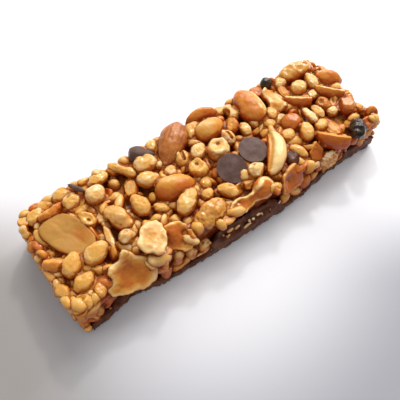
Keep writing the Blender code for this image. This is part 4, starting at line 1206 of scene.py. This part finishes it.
def layFill(draw):
    masters = makeMasters([*crispShapes, *chunkCuts], heap["fillDetail"])
    crisps, nuts = [], []
    for place, heading, tipped in fillPlaces(draw):
        long, wide = draw.uniform(*heap["fillLong"]), draw.uniform(*heap["fillWide"])
        right = ramp(place[0], 15, 35)                   # more chopped and darker nuts towards the right end
        nutty = draw.random() < heap["nutShare"] + heap["moreNutsRight"] * right
        kind = draw.choice(list(chunkCuts) if nutty else heap["fillCrisps"])
        toast = draw.uniform(0.35, 1.0) + heap["darkerRight"] * right if nutty else draw.uniform(0.2, 0.5)
        turn = (draw.uniform(0, 360), tipped + draw.uniform(-15, 15), heading)
        made = lay(masters[kind], place, (long, wide, wide * heap["fillFlat"]), turn, toast)
        (nuts if nutty else crisps).append(made)
    for master in masters.values():
        discard(master)
    print("fill:", len(crisps), "crisps,", len(nuts), "nut bits")
    pour("crispsBelow", crisps, heap["fillRough"], crispFinish)
    pour("nutBitsBelow", nuts, heap["fillRough"], nutFinish)


def laySyrup():
    # the syruped core: a block with every piece pressed in, remeshed so that syrup fills the corners
    # between them, then drawn in and roughened
    shape = {"shorter": 4.6, "wide": 29.0, "high": 7.4, "middle": 6.7, "cuts": 24, "sideIn": 2.3,
             "cell": 0.5, "fillets": 6, "drawnIn": 0.27, "rough": [(1.4, 0.5), (0.7, 0.2)], "toast": 0.45}
    low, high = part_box("nut_and_crisp_mass")
    deselect()
    bpy.ops.mesh.primitive_cube_add(size=1 * mm)
    core = bpy.context.object
    stretch(core, (high.x - low.x) / mm - shape["shorter"], shape["wide"], shape["high"])
    edit(core)
    bpy.ops.mesh.subdivide(number_cuts=shape["cuts"])
    bpy.ops.transform.translate(value=(0, 0, shape["middle"] * mm))
    leaveEdit()
    for vert in core.data.vertices:
        x, y = vert.co.x / mm, vert.co.y / mm
        near, far = nearEdge(x) + shape["sideIn"], farEdge(x) - shape["sideIn"]
        vert.co.y = (near + (far - near) * (y + shape["wide"] / 2) / shape["wide"]) * mm
    parts = [core]
    for piece in finished:
        if piece.name != "chocolateBase":
            parts.append(copyOf(piece))
            parts[-1].parent = None
    syrup = joined("syrupCore", parts)
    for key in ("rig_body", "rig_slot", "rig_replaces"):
        if key in syrup:
            del syrup[key]
    evenMesh(syrup, shape["cell"], shape["fillets"])
    applyModifier(syrup, "DISPLACE", strength=-shape["drawnIn"] * mm, mid_level=0.0)
    roughen(syrup, shape["rough"])
    print("syrup core", len(syrup.data.polygons), "faces")
    toastBy(syrup, lambda co, normal: shape["toast"])
    serve(syrup, syrupFinish, "crisp_and_nut", "nut_and_crisp_mass")


def evenRays(count):
    # directions spread evenly over a sphere, along a spiral
    golden = math.pi * (3 - math.sqrt(5))
    rays = []
    for i in range(count):
        z = 1 - 2 * (i + 0.5) / count
        side = math.sqrt(1 - z * z)
        rays.append(Vector((side * math.cos(golden * i), side * math.sin(golden * i), z)))
    return rays


def shadeCrevices():
    # how much of each place's sky is shut off by what is near, as painted crevice shade, and how steep it
    # is, as syrup that soaks the sides of everything but the chocolate and as painted shade on those sides
    shade = {"rays": 26, "reach": 3.2, "start": 0.05, "grazing": 0.15, "farLess": 0.6, "soakAndShade": 0.5}
    corners, faces = [], []
    for piece in finished:
        start = len(corners)
        corners += [vert.co for vert in piece.data.vertices]
        faces += [[start + index for index in face.vertices] for face in piece.data.polygons]
    tree = BVHTree.FromPolygons(corners, faces)
    sky, reach = evenRays(shade["rays"]), shade["reach"] * mm
    for piece in finished:
        values = []
        soakedAndShaded = 0 if piece.data.materials[0] in (dropFinish, baseFinish, stickyFinish) else shade["soakAndShade"]
        for vert in piece.data.vertices:
            start = vert.co + vert.normal * shade["start"] * mm
            shut = total = 0.0
            for ray in sky:
                facing = ray.dot(vert.normal)
                if facing > shade["grazing"]:
                    hit = tree.ray_cast(start, ray, reach)
                    total += facing
                    if hit[0] is not None:
                        shut += facing * (1 - shade["farLess"] * hit[3] / reach)
            # the steep term darkens the sides: syrup, and painted shade
            values.append(shut / max(total, 0.001) + soakedAndShaded * ramp(1 - vert.normal.z, 0.06, 1.0))
        deep = piece.data.attributes.new("deep", "FLOAT", "POINT")
        deep.data.foreach_set("value", values)
    print("crevices shaded over", len(corners), "vertices")


def layCrumbs(draw):
    # dry crumbs along the line between chocolate and nuts and in two clusters, and flecks set in the
    # chocolate; a cluster is middle and spread, a fleck is x, z and length
    shape = {"size": (0.4, 1.3), "scattered": 30, "between": (-48, 46), "heights": (3.0, 7.5),
             "inCluster": 46,
             "clusters": [((30.0, -14.9, 6.8), (3.2, 0.6, 2.8)), ((-25.6, -12.0, 12.4), (1.8, 1.2, 0.7))],
             "flecks": [(-6.6, 8.2, 2.2), (-7.1, 5.6, 1.6), (-4.4, 7.6, 1.8), (-0.8, 5.0, 3.0),
                        (-8.2, 4.2, 1.6), (-9.4, 2.0, 1.8), (-11.6, 4.0, 2.4), (-16.0, 4.6, 2.0),
                        (2.6, 7.2, 1.6), (17.2, 1.4, 2.0), (29.2, 3.4, 2.2), (35.6, 3.6, 1.8),
                        (-21.2, 1.2, 0.9), (-36.6, 4.2, 1.3)]}
    master = makeChunk("flat", 2)
    places = []
    for _ in range(shape["scattered"]):
        x = draw.uniform(*shape["between"])
        places.append((x, nearEdge(x) + 0.6, draw.uniform(*shape["heights"])))
    for middle, spread in shape["clusters"]:
        for _ in range(shape["inCluster"]):
            places.append([a + draw.gauss(0, 0.5) * b for a, b in zip(middle, spread)])
    pieces = []
    for place in places:
        long = draw.uniform(*shape["size"])
        turn = [draw.uniform(0, 360) for _ in range(3)]
        size = (long, long * 0.7, long * 0.5)
        pieces.append(lay(master, place, size, turn, draw.uniform(0.0, 0.5)))
    for x, z, long in shape["flecks"]:
        turn = (draw.uniform(60, 120), draw.uniform(-50, 10), 0)
        place, size = (x, nearEdge(x) + 0.5, z), (long, long * 0.45, 0.9)
        pieces.append(lay(master, place, size, turn, draw.uniform(0.1, 0.5)))
    discard(master)
    serve(joined("crumbs", pieces), crumbFinish, "crisp_and_nut", "nut_and_crisp_mass")


def layBroken():
    # the crisp broken open on the near side, its dry inside showing
    shape = {"at": (30.2, -14.0, 7.0), "size": (8.0, 3.0, 7.0), "toast": 0.25,
             "grabs": [((3.4, 0, 2.0), (-1.4, 0, -0.6), 2.4), ((-3.6, 0, -1.6), (1.0, 0, 1.2), 2.2),
                       ((0.6, 0, -3.4), (0.4, 0, 1.6), 1.8)],
             "rough": [(3.0, 1.6), (1.6, 1.2), (0.6, 0.6)]}
    crisp = addBall("brokenCrisp", *shape["size"], 5)
    grabAll(crisp, shape["grabs"])
    evenMesh(crisp, 0.22, 0)
    roughen(crisp, shape["rough"])
    toastBy(crisp, lambda co, normal: shape["toast"])
    carry(crisp, Vector(shape["at"]) * mm)
    serve(crisp, crumbFinish, "crisp_and_nut", "nut_and_crisp_mass")


def setTable():
    # a pale table with painted shade: dimmer for a way in front of the bar and warmer to the left, as
    # painted light falloff and shadow; distances on it are in metres, towards the near side and across the
    # view
    table = {"size": 4, "below": 0.02, "roughness": 0.6, "pale": (0.83, 0.82, 0.84, 1),
             "paintedShadeLeft": (0.34, 0.31, 0.29, 1), "paintedShadeRight": (0.33, 0.33, 0.36, 1),
             "towards": (-0.58, -0.81), "across": (0.81, -0.58), "middle": (0.003, -0.0034),
             "squeezed": 0.84, "dims": (0.018, 0.062), "clears": (0.075, 0.13),
             "inFront": (-0.008, 0.03), "leftToRight": (-0.045, 0.0)}
    deselect()
    bpy.ops.mesh.primitive_plane_add(size=table["size"], location=(0, 0, -table["below"] * mm))
    floor = bpy.context.object
    floor.name = "floor"
    paint = bpy.data.materials.new("paleTableWithPaintedShade")
    paint.use_nodes = True
    tree = paint.node_tree
    shader = tree.nodes["Principled BSDF"]
    shader.inputs["Roughness"].default_value = table["roughness"]
    parted = addNode(tree, "ShaderNodeSeparateXYZ")
    tree.links.new(addNode(tree, "ShaderNodeTexCoord").outputs["Object"], parted.inputs[0])

    def distance(direction):
        alongX = calc(tree, "MULTIPLY", parted.outputs["X"], direction[0])
        return calc(tree, "ADD", alongX, calc(tree, "MULTIPLY", parted.outputs["Y"], direction[1]))

    near = distance(table["towards"])
    across = calc(tree, "SUBTRACT", distance(table["across"]), table["middle"][1])
    upright = calc(tree, "MULTIPLY", calc(tree, "SUBTRACT", near, table["middle"][0]), table["squeezed"])
    squares = calc(tree, "ADD", calc(tree, "POWER", upright, 2.0), calc(tree, "POWER", across, 2.0))
    apart = calc(tree, "SQRT", squares)
    dims, clears = stepUp(tree, apart, *table["dims"]), stepUp(tree, apart, *table["clears"])
    away = calc(tree, "SUBTRACT", dims, clears)
    shade = calc(tree, "MULTIPLY", away, stepUp(tree, near, *table["inFront"]))
    aside = stepUp(tree, across, *table["leftToRight"])
    # the painted shade colour, warm on the left and cool on the right, blended over the pale colour
    paintedShadeColour = blendColour(tree, aside, table["paintedShadeLeft"], table["paintedShadeRight"])
    tree.links.new(blendColour(tree, shade, table["pale"], paintedShadeColour), shader.inputs["Base Color"])
    floor.data.materials.append(paint)


def setLights():
    lights = {
        "window": {"at": (0.30, 0.26, 0.34), "size": 0.55, "power": 2.85, "colour": (1.0, 0.985, 0.96)},
        "glintHigh": {"at": (0.15, 0.18, 0.26), "size": 0.035, "power": 0.3, "colour": (1.0, 1.0, 1.0)},
        "glintLow": {"at": (0.26, 0.06, 0.16), "size": 0.03, "power": 0.15, "colour": (1.0, 1.0, 1.0)},
    }
    sky = {"colour": (0.97, 0.98, 1.0, 1), "strength": 0.67, "inGloss": 0.10}
    for name, light in lights.items():
        deselect()
        bpy.ops.object.light_add(type="AREA", location=light["at"])
        lamp = bpy.context.object
        lamp.name = name
        lamp.data.shape = "DISK"
        lamp.data.size = light["size"]
        lamp.data.energy = light["power"]
        lamp.data.color = light["colour"]
        lamp.rotation_euler = (-Vector(light["at"])).to_track_quat("-Z", "Y").to_euler()
    world = bpy.data.worlds.new("studio")
    world.use_nodes = True
    tree = world.node_tree
    background = tree.nodes["Background"]
    background.inputs["Color"].default_value = sky["colour"]
    inGloss = addNode(tree, "ShaderNodeLightPath").outputs["Is Glossy Ray"]      # gloss sees a dimmer sky
    dimmer = calc(tree, "MULTIPLY", inGloss, sky["strength"] - sky["inGloss"])
    tree.links.new(calc(tree, "SUBTRACT", sky["strength"], dimmer), background.inputs["Strength"])
    bpy.context.scene.world = world
    bpy.context.scene.view_settings.view_transform = "Standard"


def setCamera():
    # it looks at the aim from the distance, back along its azimuth and elevation
    view = {"azimuth": -35.49, "elevation": 57.0, "distance": 133.4, "aim": (-6.98, -3.90, 6.5),
            "lens": 45.0, "sensor": 36.0}
    azimuth, elevation = math.radians(view["azimuth"]), math.radians(view["elevation"])
    level = math.cos(elevation)
    back = Vector((math.sin(azimuth) * level, -math.cos(azimuth) * level, math.sin(elevation)))
    deselect()
    bpy.ops.object.camera_add(location=(Vector(view["aim"]) + back * view["distance"]) * mm)
    camera = bpy.context.object
    camera.rotation_euler = (-back).to_track_quat("-Z", "Y").to_euler()
    camera.data.lens = view["lens"]
    camera.data.sensor_width = view["sensor"]
    camera.data.clip_start = 1 * mm
    bpy.context.scene.camera = camera


layNuts()
layCrescent()
layAlmond()
layFlakes()
layDrops()
layBase()
heapDraw = random.Random(heap["seed"])
layPlaced("crispsOnTop", placedCrisps, crispFinish, heapDraw)
layPlaced("nutBitsOnTop", placedNuts, nutFinish, heapDraw)
print("crisps laid")
layFill(heapDraw)
laySyrup()
layCrumbs(heapDraw)
layBroken()
shadeCrevices()
setTable()
setLights()
setCamera()

bpy.context.view_layer.update()
for piece in finished:
    print("  ", piece.name, trianglesOf(piece))
print("pieces", len(finished), "triangles", sum(trianglesOf(piece) for piece in finished))
